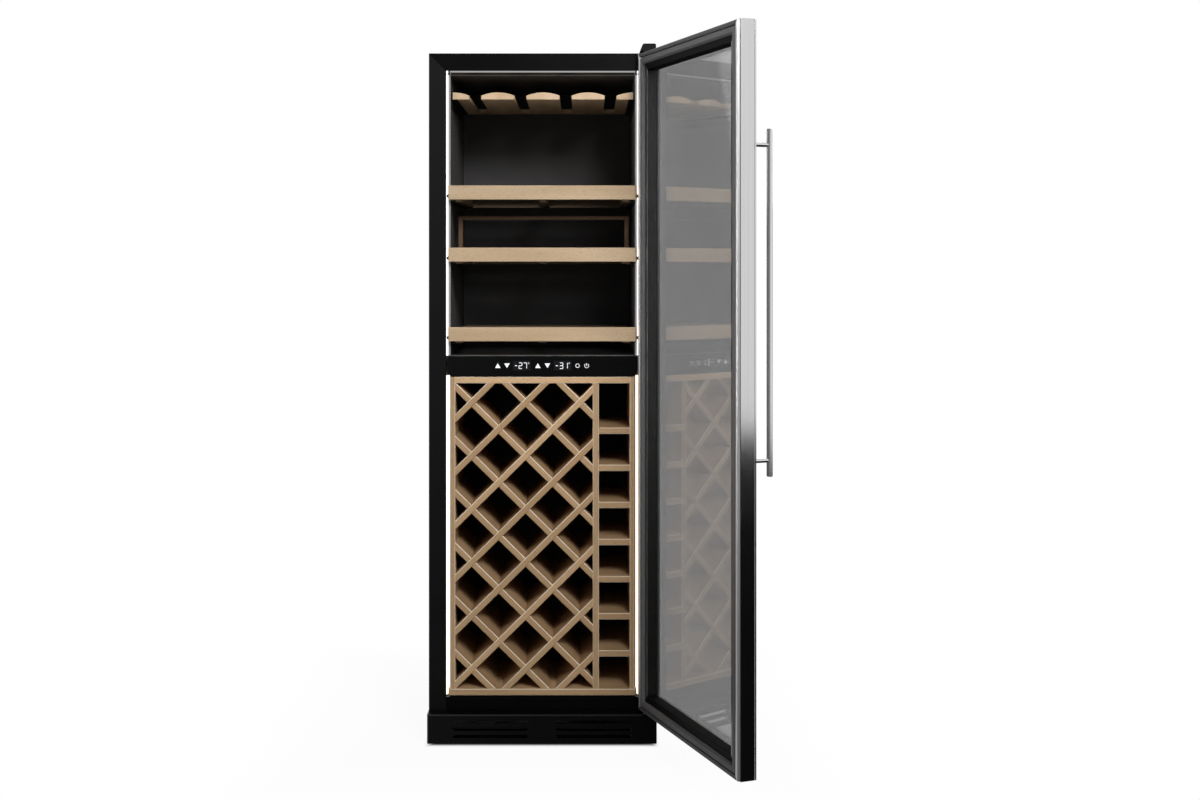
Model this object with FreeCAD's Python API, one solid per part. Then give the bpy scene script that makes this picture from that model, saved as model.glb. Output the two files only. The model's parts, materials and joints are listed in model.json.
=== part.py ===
import FreeCAD, Part
import math
import os

# Built-in dual-zone wine cooler, in millimetres.
# +X to the right, the front faces -Y, +Z up. The origin is on the floor, below the middle of the cabinet.

# Cabinet
cabinet_width = 595.0
cabinet_height = 1800.0
cabinet_depth = 535.0
sheet = 1.2                  # painted steel of the outer panels
side_wall = 54.0             # outer panel to the inside of the liner, also over the ceiling
back_wall = 45.0             # outside of the back panel to the inside of the liner
liner_sheet = 2.5
base_height = 81.0           # floor to the underside of the insulated body
pan_height = 30.0            # floor to the underside of the base pan
pan_sheet = 2.0
pan_window_border = 60.0     # blank corners beside the air window in the pan's front
pan_window_rim = 8.0

# Face frame
trim_border = 45.0
sill_border = 33.0
trim_depth = 30.0
trim_wall = 3.0
trim_lip = 10.0              # inner return of the frame, front to back
trim_edge = 0.8              # chamfer along the front edges
floor_step = 3.0             # liner floor above the top of the sill
lens_back = 5.0              # width of a light lens where it meets the liner flange

# Machine bay at the foot of the back
bay_depth = 185.0
bay_top = 280.0
bay_wall = 40.0              # insulation between the bay and the lower liner

# Control panel between the two zones
control_height = 53.0
control_side_gap = 4.5       # end of the panel to the face frame
control_glass_thick = 3.0
control_setback = 2.0
control_shell = 2.5
control_corner = 9.0
control_board_thick = 1.6
control_board_margin = 14.0

# Plinth
plinth_clearance = 6.0       # floor to the lower edge
plinth_sheet = 2.5
plinth_edge = 3.0            # chamfer along the front's upper and side edges
slot_height = 8.3
slot_inner = 38.0            # inner end of a slot, from the middle of the cabinet
slot_end_gap = 66.5          # outer end of a slot to the side of the cabinet
slot_rows = 3

# Levelling feet
foot_inset_x = 47.0
foot_inset_y = 45.0
foot_radius = 20.0
foot_pad = 12.0
foot_stem_radius = 5.0
foot_stem_out = 18.0         # stem above its nut
foot_nut_radius = 10.0
foot_nut_height = 12.0
stem_clearance = 0.2

# Door
door_thickness = 40.0
door_gap = 7.8               # inner face of the door to the face frame, closed
door_top_gap = 3.0
door_bottom_gap = 5.0        # top of the plinth to the lower edge of the door
door_border = 48.0
door_edge = 0.8              # chamfer along the inner edges of the frame
door_rebate = 12.0           # how far the panes reach under the frame
outer_glass = 4.0
inner_glass = 4.0
pane_clearance = 0.3
spacer_width = 9.0
spacer_depth = 6.0           # between the panes
pivot_inset = 17.0           # hinge axis from the side edge of the door
door_open = 110.0            # degrees, as it stands

# Door gasket
gasket_inset = 13.0
gasket_width = 24.0
gasket_top_width = 18.0
gasket_thick = 7.5
gasket_root = 6.0
gasket_root_depth = 5.0
groove_clearance = 0.2

# Handle
handle_radius = 7.0
handle_low_gap = 677.0       # lower edge of the door to the end of the bar
handle_high_gap = 243.0      # upper edge of the door to the end of the bar
handle_post_radius = 5.0
handle_post_inset = 37.0
handle_standoff = 47.0       # glass to the axis of the bar
handle_edge = 27.0           # free edge of the door to the axis of the bar
handle_chamfer = 1.5

# Hinges
hinge_plate = 3.0
hinge_width = 34.0
hinge_reach_back = 58.0      # top bracket, behind the face frame's front
hinge_leg = 42.0             # lower bracket's leg, below its plate
pin_radius = 4.0
pin_clearance = 0.05
pin_depth = 9.0              # pin inside the door
bush_radius = 7.0
bush_clearance = 0.3         # bush to the bracket
hinge_margin = 11.0          # end of a bracket beyond the hinge axis
cover_height = 20.0
cover_side = 1.5             # foot of the cover's slope to the bracket
cover_slope = 8.0
cover_wall = 2.0
cover_inset = 1.5
cover_back_margin = 4.0
cover_edge = 2.5

# Sliding shelves
stemware_bay = 231.0         # stemware rack to the top of the upper shelf
display_bay = 121.0          # underside of the upper shelf to the top of the middle one
bottle_bay = 167.0           # underside of the middle shelf to the top of the lower one
lower_shelf_gap = 32.0       # underside of the lower shelf to the control panel
fascia_side_gap = 5.5        # end of a fascia to the face frame
fascia_height = 37.0
fascia_thick = 18.0
fascia_setback = 2.0
fascia_edge = 1.2            # chamfer round the front
deck_back_gap = 28.0         # rear of a deck to the air duct
deck_drop = 5.0              # deck rails below the fascia
rail_width = 18.0
rail_height = 24.0
slat_thick = 10.0
slat_width = 40.0
slat_count = 6
slat_edge = 2.0
track_height = 30.0
track_sheet = 1.5
track_setback = 2.0          # behind the front edge of the liner
track_overrun = 12.0         # rear of a track beyond the deck
runner_space = 14.5          # deck to the wall of the liner
runner_clearance = 0.4
runner_reach = 3.5           # moving flange short of the liner wall
track_reach = 2.5            # fixed flange short of the deck

# Display stand on the middle shelf
stand_post = 11.0
stand_bar = 9.0
stand_depth = 18.0
stand_height = 94.0
stand_slat = 1               # it stands on the second slat

# Stemware rack
glass_rack_side_gap = 4.0    # rack to the wall of the liner
glass_rack_back_gap = 8.0    # rack to the air duct
glass_rack_setback = 50.0
glass_rack_headroom = 61.0   # underside of the rack to the ceiling
tongue_crest = 18.5
tongue_edge = 10.0
tongue_bow = 2.1             # outer tongues above the straight line from crest to edge
stem_slot = 32.0
stem_slots = 4
glass_rack_back = 60.0       # closed strip behind the slots
bracket_sheet = 1.5
bracket_leg = 24.0
bracket_ledge = 16.0

# Bottle rack in the lower zone
rack_side_gap = 2.5          # rack to the wall of the liner
rack_back_gap = 14.5         # rack to the step over the machine bay
rack_setback = 5.5
rack_headroom = 3.0
rack_side = 12.0
rack_base_thick = 17.0
rack_rail_thick = 17.0
rack_front_gap = 6.0         # end of the front rail to the face frame
rack_front_thick = 18.0
rack_divider_thick = 16.0
cubby_clear = 81.0
cubby_pitch = 97.4
cubby_first = 92.0           # base board to the middle of the first shelf
cubby_shelf = 16.5
board_thick = 16.0
board_edge = 1.6             # chamfer along the front edges
lattice_pitch_x = 141.8
lattice_pitch_z = 139.8
lattice_shift = 4.0          # lattice to the right of the middle of its bay
lap_clearance = 0.15
seat_clearance = 0.1

# Cooling
compressor_radius = 72.0
compressor_height = 158.0
compressor_dome = 30.0       # height of the sloping shoulder
compressor_crown = 30.0      # inset of the flat top
compressor_seam = 4.0
compressor_gap = 7.0         # foot plate to the drip tray
compressor_foot = 150.0
compressor_foot_thick = 3.0
compressor_box = (44.0, 26.0, 40.0)
pad_size = 18.0
pad_height = 14.0
condenser_gap = 9.5          # headers to the walls of the bay
condenser_side_gap = 8.0     # condenser to the nut of a rear foot
condenser_height = 150.0
condenser_depth = 24.0
condenser_tube = 3.0
condenser_pitch = 15.0
header_size = 16.0
fan_frame_gap = 60.0         # condenser to the fan
fan_frame_depth = 25.0
fan_wall = 5.0
fan_bore = 55.0
fan_tip_gap = 3.0
fan_hub = 20.0
fan_depth = 16.0
fan_blades = 5
fan_blade_thick = 1.6
fan_pitch = 36.0
fan_arm = 6.0
fan_arms = 3
fan_motor_depth = 6.0
fan_clearance = 0.3
fan_corner = 8.0
duct_sheet = 2.0
duct_side_gap = 1.0          # duct to the side walls of the liner
duct_margin = 60.0           # open upper end of a duct to the ceiling of its zone
duct_floor_gap = 40.0        # open lower end of a duct to the floor behind it
duct_fan_drop = 90.0         # fan axis below the top of its duct
duct_fan_gap = 8.0           # fan to the plate in front of it
motor_bar = 12.0
motor_leg_gap = 4.0          # leg of the motor's bar to the sweep of the blades
motor_back_gap = 1.7         # motor to the channels of the evaporator
duct_vent = 360.0
duct_vent_height = 12.0
duct_vent_drop = 29.0        # lower edge of a vent below the top of its shelf
evaporator_plate = 2.0
evaporator_gap = 4.0         # plate off the liner's back
evaporator_side_gap = 115.5  # plate to the side of its duct
evaporator_margin = 20.0
evaporator_channel = 9.0
evaporator_ridge = 2.0
evaporator_channels = 7
tray_size = (76.0, 84.0, 34.0)
tray_wall = 2.0
tray_side_gap = 16.0         # tray to the side of the base pan
tray_front_gap = 10.0        # tray to the front of the machine bay
inlet_size = (50.0, 28.0, 32.0)
inlet_recess = (26.0, 16.0, 18.0)
inlet_x = -20.0
inlet_setback = 8.0
inlet_pin = (2.0, 14.0, 5.0)

# Planes that several pieces share
half_width = cabinet_width / 2
front_y = -cabinet_depth / 2
back_y = cabinet_depth / 2
flange_y = front_y + trim_depth
liner_half = half_width - side_wall
frame_half = half_width - trim_border
liner_back = back_y - back_wall
evaporator_face = liner_back - evaporator_gap - evaporator_plate - evaporator_ridge
motor_back = evaporator_face - motor_back_gap
fan_back = motor_back - fan_motor_depth - fan_clearance
duct_inner = fan_back - fan_depth - duct_fan_gap
duct_face = duct_inner - duct_sheet
duct_half = liner_half - duct_side_gap
liner_floor = base_height + sill_border + floor_step
ceiling = cabinet_height - side_wall
glass_rack_bottom = ceiling - glass_rack_headroom
shelf_height = fascia_height + deck_drop
upper_shelf_top = glass_rack_bottom - stemware_bay
middle_shelf_top = upper_shelf_top - shelf_height - display_bay
lower_shelf_top = middle_shelf_top - shelf_height - bottle_bay
control_top = lower_shelf_top - shelf_height - lower_shelf_gap
control_bottom = control_top - control_height
deck_half = liner_half - runner_space
door_inner = front_y - door_gap
door_outer = door_inner - door_thickness
door_bottom = base_height + door_bottom_gap
door_top = cabinet_height - door_top_gap
pivot = (half_width - pivot_inset, door_inner - door_thickness / 2)
door_lip_depth = door_thickness - outer_glass - spacer_depth - inner_glass
bay_front = back_y - bay_depth
bay_middle = (bay_front + back_y) / 2
pan_top = pan_height + pan_sheet
pan_half = half_width - sheet - pan_sheet
overlap = 1.0                # how far a cutting tool runs past a face
near = 0.1                   # how close to a plane an edge counts as lying on it


def vec(x, y, z):
    return FreeCAD.Vector(x, y, z)


def box(x0, x1, y0, y1, z0, z1):
    return Part.makeBox(x1 - x0, y1 - y0, z1 - z0, vec(x0, y0, z0))


def face(points):
    """Flat face inside a closed outline of straight runs."""
    return Part.Face(Part.makePolygon(list(points) + [points[0]]))


def along_y(outline, y0, y1):
    """Outline of (x, z) points drawn from y0 to y1."""
    return face([vec(x, y0, z) for x, z in outline]).extrude(vec(0, y1 - y0, 0))


def along_z(outline, z0, z1):
    """Outline of (x, y) points drawn from z0 to z1."""
    return face([vec(x, y, z0) for x, y in outline]).extrude(vec(0, 0, z1 - z0))


def along_x(outline, x0, x1):
    """Outline of (y, z) points drawn from x0 to x1."""
    return face([vec(x0, y, z) for y, z in outline]).extrude(vec(x1 - x0, 0, 0))


def rod(radius, x, y, z0, z1):
    return Part.makeCylinder(radius, z1 - z0, vec(x, y, z0))


def hexagon(radius, x, y, z0, z1):
    """Upright six-sided prism, as wide as a circle of that radius across its corners."""
    corners = [math.radians(60 * i) for i in range(6)]
    return along_z([(x + radius * math.cos(a), y + radius * math.sin(a)) for a in corners], z0, z1)


def rod_y(radius, x, z, y0, y1):
    return Part.makeCylinder(radius, y1 - y0, vec(x, y0, z), vec(0, 1, 0))


def fused(shapes):
    whole = shapes[0].multiFuse(shapes[1:]) if len(shapes) > 1 else shapes[0]
    return whole.removeSplitter()


def mirrored(shape):
    """The same piece on the other side of the cabinet."""
    return shape.mirror(vec(0, 0, 0), vec(1, 0, 0))


def both_sides(shape):
    return [mirrored(shape), shape]


def save(node, shapes):
    pieces = shapes if isinstance(shapes, list) else [shapes]
    solids = [s for piece in pieces for s in piece.Solids]
    Part.makeCompound(solids).exportStep(os.path.join("parts", node + ".step"))


def hung(shape):
    """Door piece, drawn closed, turned on the hinge to where the door stands."""
    turned = shape.copy()
    turned.rotate(vec(pivot[0], pivot[1], 0), vec(0, 0, 1), door_open)
    return turned


def mitred_bars(profile, y_front, left, right, bottom, top, borders, square_foot=False):
    """Bars of a rectangular frame: left, right, bottom and top, each cut to its mitres.

    profile gives, for the width of a border, the outline of (inward, depth) points. With a square foot
    the uprights run down to the bottom, and the lower bar butts between them."""
    side, low, high = borders
    depth = max(d for _, d in profile(side))
    corners = [(left, bottom), (right, bottom), (right, top), (left, top)]
    inner = [(left + side, bottom + low), (right - side, bottom + low),
             (right - side, top - high), (left + side, top - high)]
    foot = inner[:2]
    ends = corners[:2]
    if square_foot:
        ends = [(left + side, bottom), (right - side, bottom)]
        foot = ends

    def clip(*outline):
        return along_y(outline, y_front - overlap, y_front + depth + overlap)

    upright = [(left + u, y_front + d) for u, d in profile(side)]
    other = [(right - u, y_front + d) for u, d in profile(side)]
    lower = [(y_front + d, bottom + u) for u, d in profile(low)]
    upper = [(y_front + d, top - u) for u, d in profile(high)]
    return [along_z(upright, bottom, top).common(clip(corners[3], corners[0], foot[0], inner[3])),
            along_z(other, bottom, top).common(clip(corners[1], corners[2], inner[2], foot[1])),
            along_x(lower, left, right).common(clip(ends[0], ends[1], inner[1], inner[0])),
            along_x(upper, left, right).common(clip(corners[2], corners[3], inner[3], inner[2]))]


def make_shell():
    """Outer panels, folded back panel and base pan."""
    side = box(half_width - sheet, half_width, flange_y, back_y, pan_height, cabinet_height - sheet)
    top = box(-half_width, half_width, flange_y, back_y, cabinet_height - sheet, cabinet_height)
    save("outer_panels", both_sides(side) + [top])

    inside = half_width - sheet
    fold = [(back_y, cabinet_height - sheet), (back_y - sheet, cabinet_height - sheet),
            (back_y - sheet, bay_top + sheet), (bay_front - sheet, bay_top + sheet),
            (bay_front - sheet, base_height), (bay_front, base_height),
            (bay_front, bay_top), (back_y, bay_top)]
    save("back_panel", along_x(fold, -inside, inside))

    tray = [(-inside, pan_height), (inside, pan_height), (inside, base_height),
            (inside - pan_sheet, base_height), (inside - pan_sheet, pan_top),
            (-inside + pan_sheet, pan_top), (-inside + pan_sheet, base_height), (-inside, base_height)]
    pan = along_y(tray, front_y, back_y)
    front = box(-inside, inside, front_y, front_y + pan_sheet, pan_height, base_height)
    window = inside - pan_window_border
    front = front.cut(box(-window, window, front_y - overlap, front_y + pan_sheet + overlap,
                          pan_top + pan_window_rim, base_height - pan_window_rim))
    pieces = [pan, front]
    for x, y in foot_places():
        pieces.append(hexagon(foot_nut_radius, x, y, pan_top, pan_top + foot_nut_height))
    pan = fused(pieces)
    for x, y in foot_places():
        pan = pan.cut(rod(foot_stem_radius + stem_clearance, x, y, 0, cabinet_height))
    save("base_pan", pan)


def foot_places():
    x = half_width - foot_inset_x
    y = cabinet_depth / 2 - foot_inset_y
    return [(-x, -y), (x, -y), (-x, y), (x, y)]


def make_feet():
    names = ["foot_front_left", "foot_front_right", "foot_rear_left", "foot_rear_right"]
    for name, (x, y) in zip(names, foot_places()):
        pad = hexagon(foot_radius, x, y, 0, foot_pad)
        stem = rod(foot_stem_radius, x, y, foot_pad, pan_top + foot_nut_height + foot_stem_out)
        save(name, fused([pad, stem]))


def zone(name):
    """Lowest and highest inside level of a zone."""
    return {"upper": (control_top, ceiling), "lower": (liner_floor, control_bottom)}[name]


def zone_outline(name, grow):
    """Side view of a zone's hollow as (y, z) points, grown by a wall."""
    low, high = zone(name)
    if name == "upper":
        return [(flange_y, low - grow), (liner_back + grow, low - grow),
                (liner_back + grow, high + grow), (flange_y, high + grow)]
    step_y = bay_front - bay_wall
    step_z = bay_top + bay_wall
    return [(flange_y, low - grow), (step_y + grow, low - grow), (step_y + grow, step_z - grow),
            (liner_back + grow, step_z - grow), (liner_back + grow, high + grow), (flange_y, high + grow)]


def make_insulation():
    """Two formed liners with their front flanges, and the foam between them and the outer shell."""
    inside = half_width - sheet
    middle = (control_bottom + control_top) / 2
    spans = {"upper": (middle, cabinet_height - sheet), "lower": (base_height, middle)}
    foam = box(-inside, inside, flange_y + liner_sheet, back_y - sheet, base_height, cabinet_height - sheet)
    foam = foam.cut(box(-inside, inside, bay_front - sheet, back_y, base_height, bay_top + sheet))
    for name in ("upper", "lower"):
        hollow = along_x(zone_outline(name, 0), -liner_half, liner_half)
        skin = along_x(zone_outline(name, liner_sheet), -liner_half - liner_sheet, liner_half + liner_sheet)
        flange = box(-inside, inside, flange_y, flange_y + liner_sheet, *spans[name])
        save("liner_" + name, fused([skin, flange]).cut(hollow))
        foam = foam.cut(skin)
    save("foam_insulation", foam)


def trim_profile(border):
    """Open channel of the face frame as (inward, depth) points."""
    return [(0, trim_edge), (trim_edge, 0), (border - trim_edge, 0), (border, trim_edge),
            (border, trim_lip), (border - trim_wall, trim_lip), (border - trim_wall, trim_wall),
            (trim_wall, trim_wall), (trim_wall, trim_depth), (0, trim_depth)]


def make_face_frame():
    """Stiles mitred to the top rail, with the sill between their feet."""
    bars = mitred_bars(trim_profile, front_y, -half_width, half_width, base_height, cabinet_height,
                       (trim_border, sill_border, trim_border), square_foot=True)
    save("trim_sides", bars[:2])
    save("trim_rails", bars[2:])


def lens_outline():
    """Section of a light lens as (inward, depth) points: from the frame's lip to the liner's edge."""
    lip = trim_border - trim_wall
    return [(trim_border, trim_lip), (side_wall, trim_depth), (side_wall - lens_back, trim_depth),
            (lip, trim_lip + lens_back), (lip, trim_lip)]


def make_lights():
    """Side lenses of both zones, and the lens along the top between them."""
    side = [(half_width - u, front_y + d) for u, d in lens_outline()]
    lenses = []
    for name in ("upper", "lower"):
        lenses += both_sides(along_z(side, *zone(name)))
    over = [(front_y + d, cabinet_height - u) for u, d in lens_outline()]
    lenses.append(along_x(over, -liner_half, liner_half))
    save("light_lenses", lenses)


def make_control_panel():
    glass_front = front_y + control_setback
    glass_back = glass_front + control_glass_thick
    half = frame_half - control_side_gap
    plate = box(-half, half, glass_front, flange_y, control_bottom, control_top)
    lower_corners = [e for e in plate.Edges if abs(e.CenterOfMass.z - control_bottom) < near
                     and abs(e.CenterOfMass.x) > half - near]
    plate = plate.makeFillet(control_corner, lower_corners)
    slab = box(-half, half, glass_front, glass_back, control_bottom, control_top)
    save("control_glass", plate.common(slab))
    pocket = box(-half + control_corner, half - control_corner, glass_back - overlap,
                 flange_y - control_shell, control_bottom + control_shell, control_top - control_shell)
    save("control_housing", plate.cut(slab).cut(pocket))
    back = flange_y - control_shell
    save("control_board", box(-half + control_board_margin, half - control_board_margin,
                              back - control_board_thick, back,
                              control_bottom + control_board_margin, control_top - control_board_margin))


def make_plinth():
    """Folded kick panel, flush with the closed door, with two groups of air slots."""
    shell = box(-half_width, half_width, door_outer, front_y, plinth_clearance, base_height)
    shell = shell.makeChamfer(plinth_edge, [e for e in shell.Edges
                                            if abs(e.CenterOfMass.y - door_outer) < near
                                            and e.CenterOfMass.z > plinth_clearance + near])
    hollow = box(-half_width + plinth_sheet, half_width - plinth_sheet, door_outer + plinth_sheet,
                 front_y + overlap, plinth_clearance - overlap, base_height - plinth_sheet)
    shell = shell.cut(hollow)
    pitch = (base_height - plinth_clearance) / (slot_rows + 1)
    for row in range(slot_rows):
        z = plinth_clearance + (row + 1) * pitch
        slot = box(slot_inner, half_width - slot_end_gap, door_outer - overlap,
                   door_outer + plinth_sheet + overlap, z - slot_height / 2, z + slot_height / 2)
        for hole in both_sides(slot):
            shell = shell.cut(hole)
    leg_x = hinge_left() - bush_clearance
    notch = box(leg_x, half_width + overlap, front_y - hinge_plate - bush_clearance, front_y + overlap,
                base_height - hinge_leg - bush_clearance, base_height + overlap)
    save("plinth", shell.cut(notch))


def hinge_left():
    return half_width - hinge_width


def make_hinges():
    """Top bracket with its pin and cover, and the lower bracket with its leg behind the plinth."""
    right = half_width - cover_inset
    nose = pivot[1] - hinge_margin
    outline = [(hinge_left(), nose), (right, nose), (right, front_y + hinge_reach_back),
               (hinge_left(), front_y + hinge_reach_back)]
    top = along_z(outline, cabinet_height, cabinet_height + hinge_plate)
    pin = rod(pin_radius, *pivot, door_top - pin_depth, cabinet_height + hinge_plate)
    save("hinge_top_bracket", fused([top, pin]))

    left = hinge_left() - cover_side - cover_slope
    outer = [(left, cabinet_height), (right, cabinet_height), (right, cabinet_height + cover_height),
             (left + cover_slope, cabinet_height + cover_height)]
    cover = along_y(outer, nose - cover_inset - cover_wall, front_y + hinge_reach_back + cover_back_margin)
    cover = cover.makeChamfer(cover_edge, [e for e in cover.Edges
                                           if e.CenterOfMass.z > cabinet_height + near])
    inner_top = cabinet_height + cover_height - cover_wall
    inner = [(hinge_left() - cover_inset / 2, cabinet_height - overlap),
             (right + overlap, cabinet_height - overlap), (right + overlap, cabinet_height + hinge_plate),
             (right - cover_wall, cabinet_height + hinge_plate), (right - cover_wall, inner_top),
             (hinge_left() - cover_inset / 2, inner_top)]
    cover = cover.cut(along_y(inner, nose - cover_inset / 2, front_y + hinge_reach_back + cover_inset / 2))
    save("hinge_cover", cover)

    plate = box(hinge_left(), right, nose, front_y, base_height, base_height + hinge_plate)
    leg = box(hinge_left(), right, front_y - hinge_plate, front_y, base_height - hinge_leg, base_height)
    pin = rod(pin_radius, *pivot, base_height, door_bottom + pin_depth)
    save("hinge_bottom_bracket", fused([plate, leg, pin]))


def door_profile(border):
    """Door frame bar as (inward, depth from the outer glass) points: rebate for the panes, gasket groove."""
    deep = door_thickness - outer_glass
    seat = deep - door_lip_depth
    slot = gasket_inset + gasket_width / 2
    half_root = gasket_root / 2 + groove_clearance
    root = deep - gasket_root_depth - groove_clearance
    return [(0, 0), (border - door_rebate, 0), (border - door_rebate, seat), (border, seat),
            (border, deep - door_edge), (border - door_edge, deep), (slot + half_root, deep),
            (slot + half_root, root), (slot - half_root, root), (slot - half_root, deep),
            (door_edge, deep), (0, deep - door_edge)]


def gasket_profile(_):
    """Section of the gasket: root in the frame's groove, soft bulb towards the cabinet."""
    middle = gasket_width / 2
    root = gasket_root / 2
    narrow = (gasket_width - gasket_top_width) / 2
    return [(middle - root, -gasket_root_depth), (middle + root, -gasket_root_depth), (middle + root, 0),
            (gasket_width, 0), (gasket_width, gasket_thick / 2), (gasket_width - narrow, gasket_thick),
            (narrow, gasket_thick), (0, gasket_thick / 2), (0, 0), (middle - root, 0)]


def make_door():
    glass_back = door_outer + outer_glass
    borders = (door_border, door_border, door_border)
    bars = mitred_bars(door_profile, glass_back, -half_width, half_width, door_bottom, door_top, borders)
    for level in (door_bottom, door_top):
        seat = rod(bush_radius, *pivot, level - pin_depth, level + pin_depth)
        bars = [bar.cut(seat) for bar in bars]
    save("door_stiles", [hung(bar) for bar in bars[:2]])
    save("door_rails", [hung(bar) for bar in bars[2:]])

    pane = box(-half_width, half_width, door_outer, glass_back, door_bottom, door_top)
    save("door_glass_outer", hung(pane))
    edge = door_border - door_rebate + pane_clearance
    pane_front = door_inner - door_lip_depth - inner_glass
    inner = box(-half_width + edge, half_width - edge, pane_front, door_inner - door_lip_depth,
                door_bottom + edge, door_top - edge)
    save("door_glass_inner", hung(inner))
    rim = edge + spacer_width
    spacer = box(-half_width + edge, half_width - edge, glass_back, pane_front,
                 door_bottom + edge, door_top - edge)
    spacer = spacer.cut(box(-half_width + rim, half_width - rim, glass_back - overlap, pane_front + overlap,
                            door_bottom + rim, door_top - rim))
    save("door_spacer", hung(spacer))

    widths = (gasket_width, gasket_width, gasket_width)
    ring = mitred_bars(gasket_profile, door_inner, -half_width + gasket_inset, half_width - gasket_inset,
                       door_bottom + gasket_inset, door_top - gasket_inset, widths)
    save("door_gasket", hung(fused(ring)))

    bushes = []
    for low, high in ((base_height + hinge_plate + bush_clearance, door_bottom + pin_depth),
                      (door_top - pin_depth, cabinet_height - bush_clearance)):
        bore = rod(pin_radius + pin_clearance, *pivot, low - overlap, high + overlap)
        bushes.append(rod(bush_radius, *pivot, low, high).cut(bore))
    save("door_bushes", [hung(bush) for bush in bushes])
    make_handle()


def make_handle():
    x = -half_width + handle_edge
    y = door_outer - handle_standoff
    low = door_bottom + handle_low_gap
    high = door_top - handle_high_gap
    bar = rod(handle_radius, x, y, low, high)
    bar = bar.makeChamfer(handle_chamfer, [e for e in bar.Edges if len(e.Vertexes) == 1])
    posts = []
    for z in (low + handle_post_inset, high - handle_post_inset):
        posts.append(hung(rod_y(handle_post_radius, x, z, y, door_outer).cut(bar)))
    save("handle_bar", hung(bar))
    save("handle_posts", posts)


def fascia_front():
    return front_y + fascia_setback


def deck_rear():
    return duct_face - deck_back_gap


def slat_places():
    """Front and rear edge of each slat of a deck."""
    first = fascia_front() + fascia_thick
    pitch = (deck_rear() - first) / slat_count
    middles = [first + pitch * (i + 0.5) for i in range(slat_count)]
    return [(m - slat_width / 2, m + slat_width / 2) for m in middles]


def make_shelf(name, top):
    """Wooden fascia, slatted deck and the two moving runners of one shelf; returns its fixed tracks."""
    y0 = fascia_front()
    y1 = y0 + fascia_thick
    bottom = top - fascia_height
    half = frame_half - fascia_side_gap
    board = box(-half, half, y0, y1, bottom, top)
    board = board.makeChamfer(fascia_edge, [e for e in board.Edges if abs(e.CenterOfMass.y - y0) < near])
    save("shelf_fascia_" + name, board)

    rail_low = bottom - deck_drop
    rail_high = rail_low + rail_height
    outside = deck_half
    inside = outside - rail_width
    rear = deck_rear()
    rail = box(inside, outside, y1, rear, rail_low, rail_high)
    beam = box(-rail_width / 2, rail_width / 2, y1, rear - rail_width, rail_low, rail_high)
    back = box(-inside, inside, rear - rail_width, rear, rail_low, rail_high)
    deck = both_sides(rail) + [beam, back]
    for start, stop in slat_places():
        outline = [(start, rail_high), (stop, rail_high), (stop, rail_high + slat_thick - slat_edge),
                   (stop - slat_edge, rail_high + slat_thick), (start + slat_edge, rail_high + slat_thick),
                   (start, rail_high + slat_thick - slat_edge)]
        deck.append(along_x(outline, -outside, outside))
    save("shelf_deck_" + name, deck)

    middle = (rail_low + rail_high) / 2
    reach = track_height / 2
    bend = track_sheet
    hold = reach - bend - runner_clearance
    tip = liner_half - runner_reach
    runner = [(outside, middle - hold), (tip, middle - hold), (tip, middle - hold + bend),
              (outside + bend, middle - hold + bend), (outside + bend, middle + hold - bend),
              (tip, middle + hold - bend), (tip, middle + hold), (outside, middle + hold)]
    save("shelf_runners_" + name, both_sides(along_y(runner, y1, rear)))
    lip = outside + track_reach
    web = liner_half - bend
    track = [(lip, middle - reach), (liner_half, middle - reach), (liner_half, middle + reach),
             (lip, middle + reach), (lip, middle + reach - bend), (web, middle + reach - bend),
             (web, middle - reach + bend), (lip, middle - reach + bend)]
    return both_sides(along_y(track, flange_y + track_setback, rear + track_overrun))


def make_shelves():
    tracks = []
    for name, top in (("upper", upper_shelf_top), ("middle", middle_shelf_top), ("lower", lower_shelf_top)):
        tracks += make_shelf(name, top)
    save("shelf_tracks", tracks)

    start, stop = slat_places()[stand_slat]
    y0 = (start + stop - stand_depth) / 2
    y1 = y0 + stand_depth
    foot = middle_shelf_top - shelf_height + rail_height + slat_thick
    top = foot + stand_height
    half = deck_half
    post = box(half - stand_post, half, y0, y1, foot, top - stand_bar)
    save("display_stand", both_sides(post) + [box(-half, half, y0, y1, top - stand_bar, top)])


def tongue(x0, x1, crown_left, crown_right, y0, y1):
    """Length of the stemware rack between two slots, crowned so that a foot slides to its slot."""
    low = glass_rack_bottom
    left = vec(x0, y0, low + (tongue_crest if crown_left else tongue_edge))
    right = vec(x1, y0, low + (tongue_crest if crown_right else tongue_edge))
    middle = (x0 + x1) / 2
    rise = tongue_crest
    if crown_left or crown_right:
        rise = (tongue_crest + tongue_edge) / 2 + tongue_bow
    crown = Part.Arc(left, vec(middle, y0, low + rise), right).toShape()
    foot_left = vec(x0, y0, low)
    foot_right = vec(x1, y0, low)
    outline = Part.Wire([Part.makeLine(foot_left, left), crown, Part.makeLine(right, foot_right),
                         Part.makeLine(foot_right, foot_left)])
    return Part.Face(outline).extrude(vec(0, y1 - y0, 0))


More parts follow.
